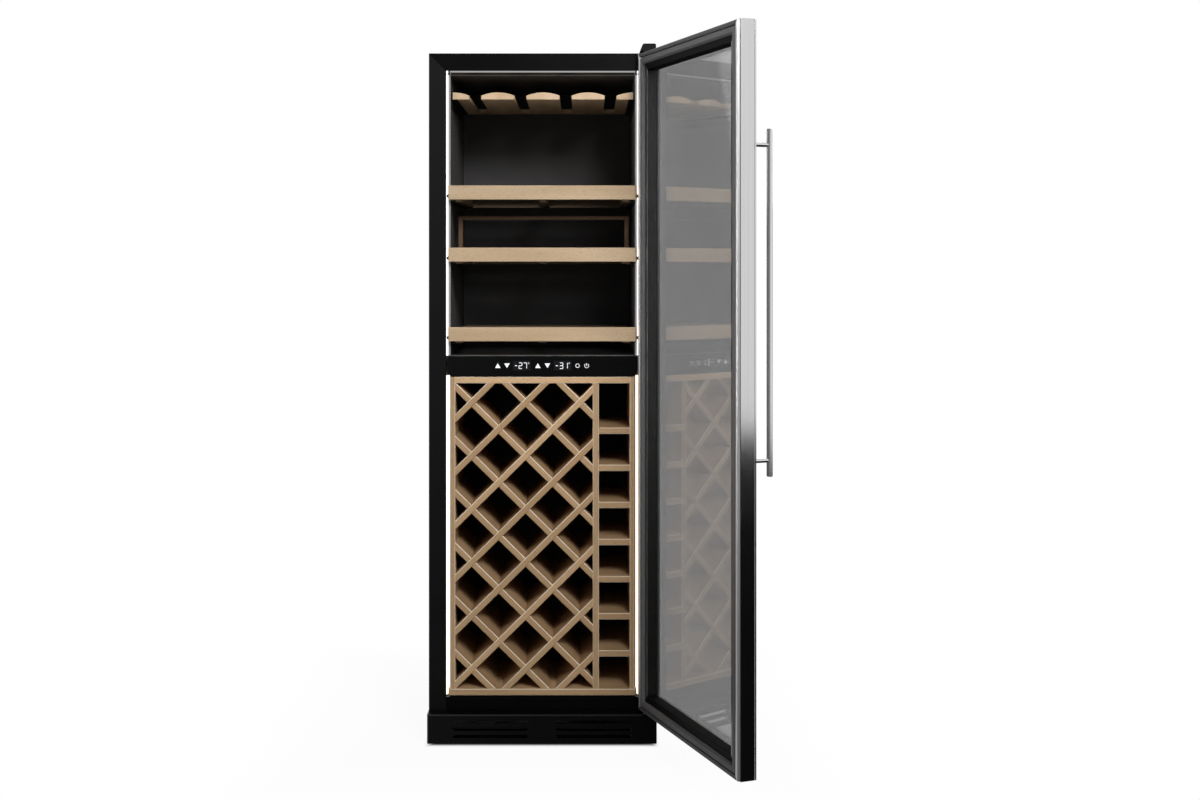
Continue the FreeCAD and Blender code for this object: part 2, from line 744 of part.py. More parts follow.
def make_glass_rack():
    y0 = front_y + glass_rack_setback
    y1 = duct_face - glass_rack_back_gap
    half = liner_half - glass_rack_side_gap
    pitch = 2 * half / stem_slots
    slots = [pitch * (i - (stem_slots - 1) / 2) for i in range(stem_slots)]
    edges = [-half]
    for x in slots:
        edges += [x - stem_slot / 2, x + stem_slot / 2]
    edges.append(half)
    pieces = []
    for i in range(0, len(edges), 2):
        pieces.append(tongue(edges[i], edges[i + 1], i == 0, i == len(edges) - 2, y0, y1))
    for x in slots:
        strip = box(x - stem_slot / 2, x + stem_slot / 2, y1 - glass_rack_back, y1,
                    glass_rack_bottom, glass_rack_bottom + tongue_edge)
        pieces.append(strip.cut(rod(stem_slot / 2, x, y1 - glass_rack_back, glass_rack_bottom - overlap,
                                    glass_rack_bottom + tongue_crest)))
    save("glass_rack", fused(pieces))

    ledge = [(liner_half - bracket_ledge, glass_rack_bottom - bracket_sheet),
             (liner_half - bracket_sheet, glass_rack_bottom - bracket_sheet),
             (liner_half - bracket_sheet, glass_rack_bottom - bracket_leg),
             (liner_half, glass_rack_bottom - bracket_leg), (liner_half, glass_rack_bottom),
             (liner_half - bracket_ledge, glass_rack_bottom)]
    save("glass_rack_brackets", both_sides(along_y(ledge, y0, y1)))


def eased(start, stop, y0, y1):
    """Section of a board from start to stop, its two front edges chamfered, as (across, y) points."""
    return [(start + board_edge, y0), (stop - board_edge, y0), (stop, y0 + board_edge), (stop, y1),
            (start, y1), (start, y0 + board_edge)]


def level_board(x0, x1, y0, y1, z0, z1):
    return along_x([(y, z) for z, y in eased(z0, z1, y0, y1)], x0, x1)


def make_bottle_rack():
    y0 = front_y + rack_setback
    y1 = bay_front - bay_wall - rack_back_gap
    base_top = liner_floor + rack_base_thick
    rack_top = control_bottom - rack_headroom
    rail_low = rack_top - rack_rail_thick
    outside = liner_half - rack_side_gap
    inside = outside - rack_side
    divider_x = inside - cubby_clear - rack_divider_thick
    board_y = fascia_front() + rack_front_thick

    save("rack_sides", both_sides(along_z(eased(inside, outside, y0, y1), base_top, rack_top)))
    save("rack_base", box(-outside, outside, board_y, y1, liner_floor, base_top))
    half = frame_half - rack_front_gap
    rail = box(-half, half, fascia_front(), board_y, liner_floor, base_top)
    rail = rail.makeChamfer(board_edge, [e for e in rail.Edges
                                         if abs(e.CenterOfMass.y - fascia_front()) < near])
    save("rack_front_rail", rail)
    save("rack_top_rail", level_board(-inside, inside, y0, y1, rail_low, rack_top))
    divider_right = divider_x + rack_divider_thick
    save("rack_divider", along_z(eased(divider_x, divider_right, y0, y1), base_top, rail_low))
    shelves = []
    for i in range(int((rail_low - base_top - cubby_first) / cubby_pitch)):
        z = base_top + cubby_first + i * cubby_pitch
        shelves.append(level_board(divider_right, inside, y0, y1, z - cubby_shelf / 2, z + cubby_shelf / 2))
    save("cubby_shelves", shelves)
    make_lattice(-inside, divider_x, base_top, rail_low, y0, y1)


def make_lattice(x0, x1, z0, z1, y0, y1):
    """Egg-crate of sloping boards, half-lapped where they cross.

    The rising boards run through at the front, and the falling ones at the rear."""
    middle_x = (x0 + x1) / 2 + lattice_shift
    middle_z = (z0 + z1) / 2
    slope = lattice_pitch_z / lattice_pitch_x
    angle = math.degrees(math.atan(slope))
    reach = math.hypot(x1 - x0, z1 - z0)
    span = (z1 - z0) / 2 + slope * ((x1 - x0) / 2 + abs(lattice_shift))
    count = int(span / lattice_pitch_z + 0.5)
    levels = [(n + 0.5) * lattice_pitch_z for n in range(-count, count)]
    bay = box(x0 + seat_clearance, x1 - seat_clearance, y0 - overlap, y1 + overlap,
              z0 + seat_clearance, z1 - seat_clearance)
    middle_y = (y0 + y1) / 2

    def bar(level, way, outline):
        solid = along_x([(y, middle_z + level + h) for y, h in outline], middle_x - reach, middle_x + reach)
        solid.rotate(vec(middle_x, 0, middle_z + level), vec(0, -1, 0), way * angle)
        return solid

    def board(level, way):
        outline = [(y, h) for h, y in eased(-board_thick / 2, board_thick / 2, y0, y1)]
        return bar(level, way, outline).common(bay)

    def laps(way, start, stop):
        half = board_thick / 2 + lap_clearance
        outline = [(start, -half), (stop, -half), (stop, half), (start, half)]
        return [bar(level, way, outline) for level in levels]

    rising = [board(level, 1).cut(laps(-1, middle_y - lap_clearance, y1 + overlap)) for level in levels]
    falling = [board(level, -1).cut(laps(1, y0 - overlap, middle_y + lap_clearance)) for level in levels]
    save("rising_boards", rising)
    save("falling_boards", falling)


def fan_rotor(tip, hub, depth):
    """Axial fan about +Z from z = 0: a cup hub and pitched blades as deep as the hub."""
    rotor = [rod(hub, 0, 0, 0, depth)]
    thick = fan_blade_thick / 2
    run = (depth / 2 - thick) / math.tan(math.radians(fan_pitch))
    section = [(-run, 0), (run, depth - 2 * thick), (run, depth), (-run, 2 * thick)]
    for i in range(fan_blades):
        blade = along_x(section, hub / 2, math.sqrt(tip ** 2 - run ** 2))
        blade.rotate(vec(0, 0, 0), vec(0, 0, 1), i * 360.0 / fan_blades)
        rotor.append(blade)
    return fused(rotor)


def fan_spider(bore, hub, depth):
    """Motor with its arms, which end in the frame round the air hole; its face is at z = depth."""
    pieces = [rod(hub, 0, 0, 0, depth)]
    for i in range(fan_arms):
        arm = box(0, bore + overlap, -fan_arm / 2, fan_arm / 2, 0, depth)
        arm.rotate(vec(0, 0, 0), vec(0, 0, 1), i * 360.0 / fan_arms + 90)
        pieces.append(arm)
    return fused(pieces)


def turned_to(shape, direction, place):
    """Fan piece, drawn about +Z, turned so that its axis points along a direction."""
    moved = shape.copy()
    turn = FreeCAD.Rotation(vec(0, 0, 1), direction)
    moved.Placement = FreeCAD.Placement(place, turn).multiply(moved.Placement)
    return moved


def make_condenser_fan():
    """Square fan frame on the base pan, blowing along the machine bay."""
    half = fan_bore + fan_wall
    middle = vec(condenser_middle() + condenser_depth / 2 + fan_frame_gap, bay_middle, pan_top + half)
    frame = box(-half, half, -half, half, 0, fan_frame_depth)
    frame = frame.makeChamfer(fan_corner, [e for e in frame.Edges
                                           if abs(e.CenterOfMass.z - fan_frame_depth / 2) < near])
    frame = frame.cut(rod(fan_bore, 0, 0, -overlap, fan_frame_depth + overlap))
    frame = fused([frame, fan_spider(fan_bore, fan_hub, fan_motor_depth)])
    way = vec(1, 0, 0)
    save("condenser_fan_frame", turned_to(frame, way, middle))
    rotor = fan_rotor(fan_bore - fan_tip_gap, fan_hub, fan_depth)
    seat = vec(fan_motor_depth + fan_clearance, 0, 0)
    save("fan_condenser", turned_to(rotor, way, middle + seat))


def make_zone_cooling():
    """Plain channel over the back of each zone, open above and below, with the fan hung behind it.

    The upper one also lets air out through a vent behind each shelf."""
    ducts = []
    plates = []
    vents = {"upper": (upper_shelf_top, middle_shelf_top, lower_shelf_top), "lower": ()}
    floors = {"upper": control_top, "lower": bay_top + bay_wall}
    wall = duct_half - duct_sheet
    section = [(-duct_half, liner_back), (-duct_half, duct_face), (duct_half, duct_face),
               (duct_half, liner_back), (wall, liner_back), (wall, duct_inner), (-wall, duct_inner),
               (-wall, liner_back)]
    for name, floor in floors.items():
        top = zone(name)[1] - duct_margin
        low = floor + duct_floor_gap
        shell = along_z(section, low, top)
        for shelf in vents[name]:
            foot = shelf - duct_vent_drop
            shell = shell.cut(box(-duct_vent / 2, duct_vent / 2, duct_face - overlap, duct_inner + overlap,
                                  foot, foot + duct_vent_height))
        axis = top - duct_fan_drop
        ducts.append(fused([shell] + fan_hanger(axis)))
        rotor = fan_rotor(fan_bore - fan_tip_gap, fan_hub, fan_depth)
        save("fan_" + name, turned_to(rotor, vec(0, -1, 0), vec(0, fan_back, axis)))
        plates.append(evaporator(low + evaporator_margin, top - evaporator_margin))
    save("air_ducts", ducts)
    save("evaporators", plates)


def fan_hanger(axis):
    """Motor of a duct's fan, and the bar that hangs it from the duct's plate."""
    seat = motor_back - fan_motor_depth
    leg = fan_bore + motor_leg_gap
    end = leg + motor_bar
    bar = [(-end, duct_inner), (-leg, duct_inner), (-leg, seat), (leg, seat), (leg, duct_inner),
           (end, duct_inner), (end, motor_back), (-end, motor_back)]
    return [rod_y(fan_hub, 0, axis, seat, motor_back),
            along_z(bar, axis - motor_bar / 2, axis + motor_bar / 2)]


def evaporator(low, high):
    """Roll-bonded plate with raised upright channels, held off the liner by two rails."""
    half = duct_half - duct_sheet - evaporator_side_gap
    back = liner_back - evaporator_gap
    front = back - evaporator_plate
    pieces = [box(-half, half, front, back, low, high)]
    pitch = 2 * half / evaporator_channels
    for i in range(evaporator_channels):
        x = -half + pitch * (i + 0.5)
        pieces.append(box(x - evaporator_channel / 2, x + evaporator_channel / 2, evaporator_face, front,
                          low + evaporator_margin, high - evaporator_margin))
    for z in (low, high - evaporator_margin):
        pieces.append(box(-half, half, back, liner_back, z, z + evaporator_margin))
    return fused(pieces)


def make_compressor():
    """Two drawn shells with a weld seam on a foot plate, four rubber pads and a terminal cover."""
    half = compressor_foot / 2
    x = tray_middle() - tray_size[0] / 2 - compressor_gap - half
    y = bay_middle
    low = pan_top + pad_height
    high = low + compressor_height
    radius = compressor_radius
    seam = (low + high) / 2
    profile = [(0, low), (radius, low), (radius, high - compressor_dome),
               (radius - compressor_crown, high), (0, high)]
    shell = face([vec(x + r, y, z) for r, z in profile]).revolve(vec(x, y, 0), vec(0, 0, 1), 360)
    rim = rod(radius + compressor_seam, x, y, seam - compressor_seam / 2, seam + compressor_seam / 2)
    plate = box(x - half, x + half, y - half, y + half, low, low + compressor_foot_thick)
    pads = []
    for x0 in (x - half, x + half - pad_size):
        for y0 in (y - half, y + half - pad_size):
            pads.append(box(x0, x0 + pad_size, y0, y0 + pad_size, pan_top, low))
    wide, deep, tall = compressor_box
    cover = box(x + radius - deep / 2, x + radius + deep, y - wide / 2, y + wide / 2,
                seam + compressor_seam, seam + compressor_seam + tall)
    body = fused([shell, rim, plate])
    save("compressor", [body, cover.cut(body)] + pads)


def condenser_middle():
    nut = foot_inset_x + foot_nut_radius - half_width
    return nut + condenser_side_gap + condenser_depth / 2


def make_condenser():
    """Flat-tube condenser: two upright headers and a ladder of flat tubes."""
    x = condenser_middle()
    reach = bay_depth / 2 - condenser_gap
    header = header_size / 2
    top = pan_top + condenser_height
    pieces = []
    for y0, y1 in ((-reach, header_size - reach), (reach - header_size, reach)):
        pieces.append(box(x - header, x + header, bay_middle + y0, bay_middle + y1, pan_top, top))
    ends = reach - header
    tubes = int((condenser_height - 2 * condenser_pitch) / condenser_pitch) + 1
    for i in range(tubes):
        z = pan_top + condenser_pitch * (i + 1)
        pieces.append(box(x - condenser_depth / 2, x + condenser_depth / 2, bay_middle - ends,
                          bay_middle + ends, z - condenser_tube / 2, z + condenser_tube / 2))
    save("condenser", fused(pieces))


def tray_middle():
    return pan_half - tray_side_gap - tray_size[0] / 2


def make_bay_fittings():
    """Drip tray on the base pan, and the mains inlet under the roof of the bay."""
    wide, deep, tall = tray_size
    x = tray_middle()
    y = bay_front + tray_front_gap + deep / 2
    tray = box(x - wide / 2, x + wide / 2, y - deep / 2, y + deep / 2, pan_top, pan_top + tall)
    tray = tray.cut(box(x - wide / 2 + tray_wall, x + wide / 2 - tray_wall, y - deep / 2 + tray_wall,
                        y + deep / 2 - tray_wall, pan_top + tray_wall, pan_top + tall + overlap))
    save("drip_tray", tray)

    wide, tall, deep = inlet_size
    rear = back_y - inlet_setback
    body = box(inlet_x - wide / 2, inlet_x + wide / 2, rear - deep, rear, bay_top - tall, bay_top)
    mouth_w, mouth_h, mouth_d = inlet_recess
    middle = bay_top - tall / 2
    body = body.cut(box(inlet_x - mouth_w / 2, inlet_x + mouth_w / 2, rear - mouth_d, rear + overlap,
                        middle - mouth_h / 2, middle + mouth_h / 2))
    pin_w, pin_l, pin_h = inlet_pin
    pins = [body]
    for step in (-1, 0, 1):
        at = inlet_x + step * mouth_w / 4
        pins.append(box(at - pin_w / 2, at + pin_w / 2, rear - mouth_d - overlap, rear - mouth_d + pin_l,
                        middle - pin_h / 2, middle + pin_h / 2))
    save("power_inlet", fused(pins))


os.makedirs("parts", exist_ok=True)
make_shell()
make_feet()
make_insulation()
make_face_frame()
make_lights()
make_control_panel()
make_plinth()
make_hinges()
make_door()
make_shelves()
make_glass_rack()
make_bottle_rack()
make_condenser_fan()
make_zone_cooling()
make_compressor()
make_condenser()
make_bay_fittings()
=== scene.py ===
import json
import math

import bmesh
import bpy
from bpy.props import FloatProperty, FloatVectorProperty, IntProperty, PointerProperty
from mathutils import Matrix, Vector


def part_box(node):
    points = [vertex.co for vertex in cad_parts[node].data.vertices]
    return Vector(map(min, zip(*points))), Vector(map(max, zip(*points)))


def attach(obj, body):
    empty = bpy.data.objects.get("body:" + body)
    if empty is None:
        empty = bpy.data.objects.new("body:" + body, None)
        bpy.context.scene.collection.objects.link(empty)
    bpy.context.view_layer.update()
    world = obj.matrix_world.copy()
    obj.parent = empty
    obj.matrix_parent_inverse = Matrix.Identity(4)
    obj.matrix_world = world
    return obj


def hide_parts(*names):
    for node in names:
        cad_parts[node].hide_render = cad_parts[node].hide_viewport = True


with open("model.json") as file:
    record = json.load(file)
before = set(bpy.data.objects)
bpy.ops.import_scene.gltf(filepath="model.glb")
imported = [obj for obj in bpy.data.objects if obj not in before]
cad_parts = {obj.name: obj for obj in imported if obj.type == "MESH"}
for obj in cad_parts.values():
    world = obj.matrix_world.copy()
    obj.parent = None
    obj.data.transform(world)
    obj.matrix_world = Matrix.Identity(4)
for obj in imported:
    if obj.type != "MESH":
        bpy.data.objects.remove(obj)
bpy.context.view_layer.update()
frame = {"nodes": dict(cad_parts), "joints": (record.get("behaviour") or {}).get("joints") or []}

bl_info = {
    "name": "Wine Cooler Dressing",
    "version": (1, 0, 0),
    "blender": (4, 5, 0),
    "location": "View3D > Sidebar > Wine Cooler",
    "description": "Finishes, small fittings and studio for a built-in wine cooler",
    "category": "Object",
}

HINGE = next(joint for joint in frame["joints"] if joint["name"] == "door_hinge")
PIVOT = Vector(HINGE["pos_m"])
DOOR_ANGLE = math.radians(-HINGE["range_deg"][0])
DOOR_REST = Matrix.Translation(PIVOT) @ Matrix.Rotation(DOOR_ANGLE, 4, "Z") @ Matrix.Translation(-PIVOT)

# Grain directions: how the X axis of a board is turned.
ACROSS = (0.0, 0.0, 0.0)
INWARD = (0.0, 0.0, math.pi / 2)
UPRIGHT = (0.0, -math.pi / 2, 0.0)
BOARD_ANGLE = math.radians(44.6)
RISING = (0.0, -BOARD_ANGLE, 0.0)
FALLING = (0.0, BOARD_ANGLE, 0.0)

# The lattice's cell across and up, and the angle below which small fittings are shaded smooth.
LATTICE_CELL = (0.1418, 0.1398)
SMOOTH_BELOW = math.radians(40)

SHELVES = ("upper", "middle", "lower")

# Control panel: arrows (place across, way up), displays (place across, digits) and key signs.
ARROWS = ((-0.117, 1), (-0.093, -1), (-0.012, 1), (0.013, -1))
DISPLAYS = ((-0.054, 2, 7), (0.053, 3, 1))
LAMP_KEY, POWER_KEY = 0.092, 0.116

# Signs of a display, across from its place: minus, digits and degree ring.
MINUS, FIRST_DIGIT, SECOND_DIGIT, DEGREE = (-0.018, -0.0125), -0.0035, 0.0085, 0.0175

# Sections of the door's seal and of the strips beside it, as shares of their width and height.
BELLOWS = [
    (0.0, 0.0), (0.013, 0.21), (0.1, 0.34), (0.067, 0.5), (0.092, 0.75), (0.142, 0.92), (0.208, 0.99),
    (0.392, 0.99), (0.433, 0.91), (0.475, 0.99), (0.688, 0.99), (0.775, 0.93), (0.85, 0.77),
    (0.865, 0.58), (0.938, 0.43), (0.915, 0.24), (1.0, 0.0),
]
LOBE = [
    (0.0, 0.0), (0.0, 0.6), (0.05, 0.82), (0.16, 0.96), (0.34, 1.0), (0.66, 1.0), (0.84, 0.96),
    (0.95, 0.82), (1.0, 0.6), (1.0, 0.0),
]
WEDGE = [(0.0, 0.0), (0.0, 0.95), (0.015, 0.99), (0.04, 0.985), (0.98, 0.04), (1.0, 0.0)]


def signal_first(operation):
    """A method that puts the signal before the other value."""
    return lambda self, other: self.math(operation, self, other)


def signal_last(operation):
    """A method that puts the signal after the other value."""
    return lambda self, other: self.math(operation, other, self)


class Signal:
    """One output of a node, used as a number in expressions."""

    def __init__(self, nodes, socket):
        self.nodes = nodes
        self.socket = socket

    def also(self, name):
        """Another output of the same node."""
        return Signal(self.nodes, self.socket.node.outputs[name])

    def math(self, operation, first, second=0.0):
        return self.nodes.node("ShaderNodeMath", {"operation": operation}, {0: first, 1: second})

    __add__, __radd__ = signal_first("ADD"), signal_last("ADD")
    __sub__, __rsub__ = signal_first("SUBTRACT"), signal_last("SUBTRACT")
    __mul__, __rmul__ = signal_first("MULTIPLY"), signal_last("MULTIPLY")
    __truediv__, __rtruediv__ = signal_first("DIVIDE"), signal_last("DIVIDE")
    __pow__, larger = signal_first("POWER"), signal_first("MAXIMUM")
    over, under = signal_first("GREATER_THAN"), signal_first("LESS_THAN")

    def __abs__(self):
        return self.math("ABSOLUTE", self)

    def between(self, low, high):
        """0 below low, 1 above high, smooth from one to the other."""
        return self.nodes.node("ShaderNodeMapRange", {"interpolation_type": "SMOOTHSTEP"},
                               {"Value": self, "From Min": low, "From Max": high})


class Nodes:
    """Adds nodes to a tree."""

    def __init__(self, tree):
        self.tree = tree
        tree.nodes.clear()

    def node(self, kind, settings=None, inputs=None, out=0):
        """Makes a node, sets it up, then fills or links its sockets. A list links each of its items."""
        made = self.tree.nodes.new(kind)
        for key, value in (settings or {}).items():
            setattr(made, key, value)
        for key, value in (inputs or {}).items():
            for item in value if isinstance(value, list) else [value]:
                if isinstance(item, Signal):
                    self.tree.links.new(item.socket, made.inputs[key])
                else:
                    made.inputs[key].default_value = item
        return Signal(self, made.outputs[out] if made.outputs else None)

    def vector(self, x=0.0, y=0.0, z=0.0):
        return self.node("ShaderNodeCombineXYZ", {}, {"X": x, "Y": y, "Z": z})


class Finish(Nodes):
    """A material whose patterns lie in the piece's own coordinates."""

    def __init__(self, name):
        self.material = bpy.data.materials.new(name)
        self.material.use_nodes = True
        super().__init__(self.material.node_tree)
        self.place = self.node("ShaderNodeTexCoord", out="Object")

    def laid(self, turn=ACROSS, cell=(1.0, 1.0, 1.0), start=(0.0, 0.0, 0.0)):
        """Coordinates turned to a direction and divided by the size of a pattern's cell."""
        return self.node("ShaderNodeMapping", {"vector_type": "TEXTURE"},
                         {"Vector": self.place, "Location": start, "Rotation": turn, "Scale": cell})

    def axes(self, vector=None):
        split = self.node("ShaderNodeSeparateXYZ", inputs={0: vector or self.place})
        return split.also("X"), split.also("Y"), split.also("Z")

    def noise(self, scale, detail, rough=0.5, vector=None):
        return self.node("ShaderNodeTexNoise", {}, {
            "Vector": vector or self.place, "Scale": scale, "Detail": detail, "Roughness": rough})

    def mix(self, factor, first, second):
        return self.node("ShaderNodeMix", {"data_type": "RGBA"}, {0: factor, 6: first, 7: second}, out=2)

    def relief(self, height, depth, strength):
        return self.node("ShaderNodeBump", {}, {"Height": height, "Distance": depth, "Strength": strength})

    def surface(self, inputs):
        shader = self.node("ShaderNodeBsdfPrincipled", {}, inputs)
        self.node("ShaderNodeOutputMaterial", {}, {"Surface": shader})
        return self.material


def toned(colour, factor):
    return [c * factor for c in colour]


def stained(colours, tint):
    """Each colour times a tint, channel by channel."""
    return [[c * t for c, t in zip(colour, tint)] for colour in colours]


def shade(colour, factor=1.0):
    """A colour times a factor, with full alpha for a shader socket."""
    return (*toned(colour, factor), 1.0)


def grey(value):
    return (value, value, value, 1.0)


def powder_coat(name, colour, gloss, turn=ACROSS, specular=0.14, corner=None, coat=0.0):
    """Baked black powder coat: orange peel, a little unevenness in gloss and a faint draw direction.

    A corner (half width, top) draws the matt line of the mitre joints at the upper corners.
    """
    f = Finish(name)
    cloud = f.noise(7.0, 3.0)
    peel = f.noise(420.0, 2.0)
    speck = f.noise(2600.0, 1.0)
    drawn = f.noise(1.0, 2.0, vector=f.laid(turn, (0.5, 0.004, 0.004)))
    rough = gloss + 0.1 * cloud + 0.08 * speck
    if corner:
        x, _, z = f.axes()
        half_line = 0.0012
        rough = rough + abs(abs(x) - z - (corner[0] - corner[1])).under(half_line)
    return f.surface({
        "Base Color": f.mix(cloud * 0.6 + drawn * 0.4, shade(colour, 0.75), shade(colour, 1.3)),
        "Roughness": rough,
        "Specular IOR Level": specular,
        "Coat Weight": coat,
        "Coat Roughness": 0.1,
        "Normal": f.relief(peel * 0.7 + speck * 0.3, 0.0001, 0.3),
    })


def moulded_plastic(name, colour, gloss, grain, specular=0.25):
    """Moulded plastic with an eroded grain."""
    f = Finish(name)
    cloud = f.noise(9.0, 2.0)
    pits = f.node("ShaderNodeTexVoronoi", {"feature": "SMOOTH_F1"}, {"Vector": f.place, "Scale": grain})
    return f.surface({
        "Base Color": f.mix(cloud, shade(colour, 0.8), shade(colour, 1.25)),
        "Roughness": gloss + 0.12 * pits + 0.06 * cloud,
        "Specular IOR Level": specular,
        "Normal": f.relief(pits, 0.00012, 0.35),
    })


def beech(name, light, dark, turn, start, tone, front=None, lattice=None):
    """Oiled beech: growth lines along the board, short dark flecks and fine fibres.

    Behind a front plane (its y) the chamfered edges get a painted highlight, mixed toward pale wood.
    A lattice (middle x, middle z, slope, pitch) gives each of its boards a tone of its own and puts
    the painted highlight only on the upper edges.
    """
    f = Finish(name)
    board = f.laid(turn, (8.0, 1.0, 1.0), start)
    rings = f.node("ShaderNodeTexWave", {"wave_type": "RINGS", "rings_direction": "X"},
                   {"Vector": board, "Scale": 46.0, "Distortion": 11.0, "Detail": 3.0, "Detail Scale": 16.0},
                   out="Fac")
    plank = f.noise(1.0, 2.0, vector=f.laid(turn, (0.45, 0.06, 0.06), start))
    fibre = f.noise(1.0, 3.0, 0.65, vector=f.laid(turn, (0.05, 0.0009, 0.0009), start))
    fleck = f.noise(1.0, 1.0, vector=f.laid(turn, (0.009, 0.0008, 0.0022), start)).between(0.62, 0.74)
    body = f.mix(plank.between(0.3, 0.72), shade(light, tone), shade(dark, tone))
    grain = f.mix((rings ** 3.0) * 0.34, body, shade(dark, 0.72 * tone))
    lined = f.mix(fibre.between(0.5, 0.82) * 0.3, grain, shade(dark, 0.62 * tone))
    flecked = f.mix(fleck * 0.35, lined, shade(dark, 0.5 * tone))
    if front is not None:
        x, y, z = f.axes()
        ease_middle, ease_half = front + 0.0009, 0.0008
        at_edge = abs(y - ease_middle).under(ease_half)
        # Painted highlight: the chamfer band is mixed toward pale cream in place of light that catches it; on
        # a lattice only the upper edges get it.
        painted_edge_highlight = at_edge * 0.6
        if lattice:
            middle_x, middle_z, slope, pitch = lattice
            step = (z - middle_z - slope * (x - middle_x)) / pitch
            number = step.math("FLOOR", step)
            chance = f.node("ShaderNodeTexWhiteNoise", {"noise_dimensions": "1D"}, {"W": number + 3.0})
            flecked = f.mix(chance * 0.3, flecked, shade(dark, 0.62 * tone))
            painted_edge_highlight = at_edge * (step - number).over(0.5) * 0.9
        flecked = f.mix(painted_edge_highlight, flecked, shade((1.0, 0.92, 0.76)))
    return f.surface({
        "Base Color": flecked,
        "Roughness": 0.46 + 0.16 * fibre + 0.05 * rings,
        "Specular IOR Level": 0.2,
        "Normal": f.relief(fibre * 0.6 + rings * 0.2 - fleck * 0.3, 0.00018, 0.4),
    })


def brushed_steel(name, colour, turn, gloss, metallic=1.0):
    """Stainless steel with brush lines along one direction."""
    f = Finish(name)
    lines = f.noise(1.0, 3.0, 0.7, vector=f.laid(turn, (0.25, 0.00035, 0.00035)))
    bands = f.noise(1.0, 2.0, vector=f.laid(turn, (0.9, 0.004, 0.004)))
    smear = f.noise(11.0, 3.0)
    return f.surface({
        "Base Color": f.mix(lines * 0.5 + bands * 0.5, shade(colour, 0.86), shade(colour, 1.08)),
        "Metallic": metallic,
        "Roughness": gloss + 0.1 * lines + 0.06 * smear,
        "Normal": f.relief(lines, 0.00003, 0.25),
    })


def galvanised_sheet(name, colour):
    """Zinc coated sheet with spangles of different grey."""
    f = Finish(name)
    cells = f.laid(cell=(0.009, 0.009, 0.009))
    spangle = f.node("ShaderNodeTexVoronoi", {"feature": "F1"}, {"Vector": cells, "Scale": 1.0}, out="Color")
    facet = f.axes(spangle)[0]
    haze = f.noise(60.0, 3.0)
    return f.surface({
        "Base Color": f.mix(facet * 0.7 + haze * 0.3, shade(colour, 0.85), shade(colour, 1.08)),
        "Metallic": 0.85,
        "Roughness": 0.38 + 0.07 * facet + 0.08 * haze,
        "Normal": f.relief(facet + haze * 0.3, 0.00005, 0.25),
    })


def zinc_plated(name, colour):
    """Bright zinc plate with a faint blue and yellow bloom."""
    f = Finish(name)
    bloom = f.noise(35.0, 3.0)
    yellow = stained([colour], (1.0, 0.98, 0.9))[0]
    return f.surface({
        "Base Color": f.mix(bloom, shade(yellow), shade(colour, 1.05)),
        "Metallic": 1.0,
        "Roughness": 0.28 + 0.16 * bloom,
        "Normal": f.relief(f.noise(900.0, 2.0), 0.00003, 0.3),
    })


def bare_aluminium(name, colour):
    """Mill finish aluminium with rolling lines and a dull oxide."""
    f = Finish(name)
    rolled = f.noise(1.0, 3.0, vector=f.laid(UPRIGHT, (0.3, 0.0008, 0.0008)))
    oxide = f.noise(48.0, 4.0)
    return f.surface({
        "Base Color": f.mix(oxide, shade(colour, 0.82), shade(colour, 1.06)),
        "Metallic": 1.0,
        "Roughness": 0.33 + 0.12 * rolled + 0.1 * oxide,
        "Normal": f.relief(rolled, 0.00004, 0.3),
    })


def soft_rubber(name, colour, gloss=0.62):
    """Elastomer with a dusty bloom."""
    f = Finish(name)
    bloom = f.noise(22.0, 4.0)
    skin = f.noise(1500.0, 2.0)
    return f.surface({
        "Base Color": f.mix(bloom, shade(colour, 0.9), shade(colour, 1.1)),
        "Roughness": gloss + 0.16 * bloom + 0.06 * skin,
        "Specular IOR Level": 0.25,
        "Normal": f.relief(skin, 0.00006, 0.3),
    })


def light_lens(name, upper, lower, strength):
    """Opal strips over the lamps: cool above the control panel, warm below it, a dim line along the top."""
    panel_band, top_level, dim_line = (0.975, 0.988), 1.7464, (1.7512, 1.753)
    top_reach, inner_edge, upper_setback = 0.2425, (0.243, 0.247), 0.0042
    f = Finish(name)
    x, _, z = f.axes()
    above = z.between(*panel_band)
    zone = f.mix(above, shade(lower, 0.6), shade(upper))
    along_top = z.over(top_level) * abs(x).under(top_reach)
    diodes = f.noise(1.0, 1.0, vector=f.laid(UPRIGHT, (0.02, 0.2, 0.2)))
    beside = f.mix((abs(x) - upper_setback * above).between(*inner_edge), grey(0.03), zone)
    line = f.mix(z.between(*dim_line), grey(0.0), grey(0.13))
    return f.surface({
        "Base Color": f.mix(along_top, grey(0.4), grey(0.02)),
        "Roughness": 0.42 + 0.1 * diodes,
        "Emission Color": f.mix(along_top, beside, line),
        "Emission Strength": strength,
    })


def panel_glass(name):
    """Black glass of the control panel, with two display windows and a painted highlight along its top edge.
    """
    row_level, window_height, window_width, top_edge = 0.982, 0.025, 0.046, 1.0072
    windows_middle, windows_apart = -0.0005, 0.107
    f = Finish(name)
    x, _, z = f.axes()
    row = abs(z - row_level).under(window_height / 2)
    windows = row * abs(abs(x - windows_middle) - windows_apart / 2).under(window_width / 2)
    # Painted highlight: the top edge is a light grey in place of light it catches.
    edge = z.over(top_edge)
    smear = f.noise(26.0, 4.0)
    tone = f.mix(windows, shade((0.0035, 0.0035, 0.0038)), shade((0.012, 0.012, 0.013)))
    return f.surface({
        "Base Color": f.mix(edge, tone, grey(0.3)),
        "Roughness": 0.07 + 0.09 * smear,
        "Specular IOR Level": 0.18,
        "Normal": f.relief(f.noise(14.0, 2.0), 0.00004, 0.2),
    })


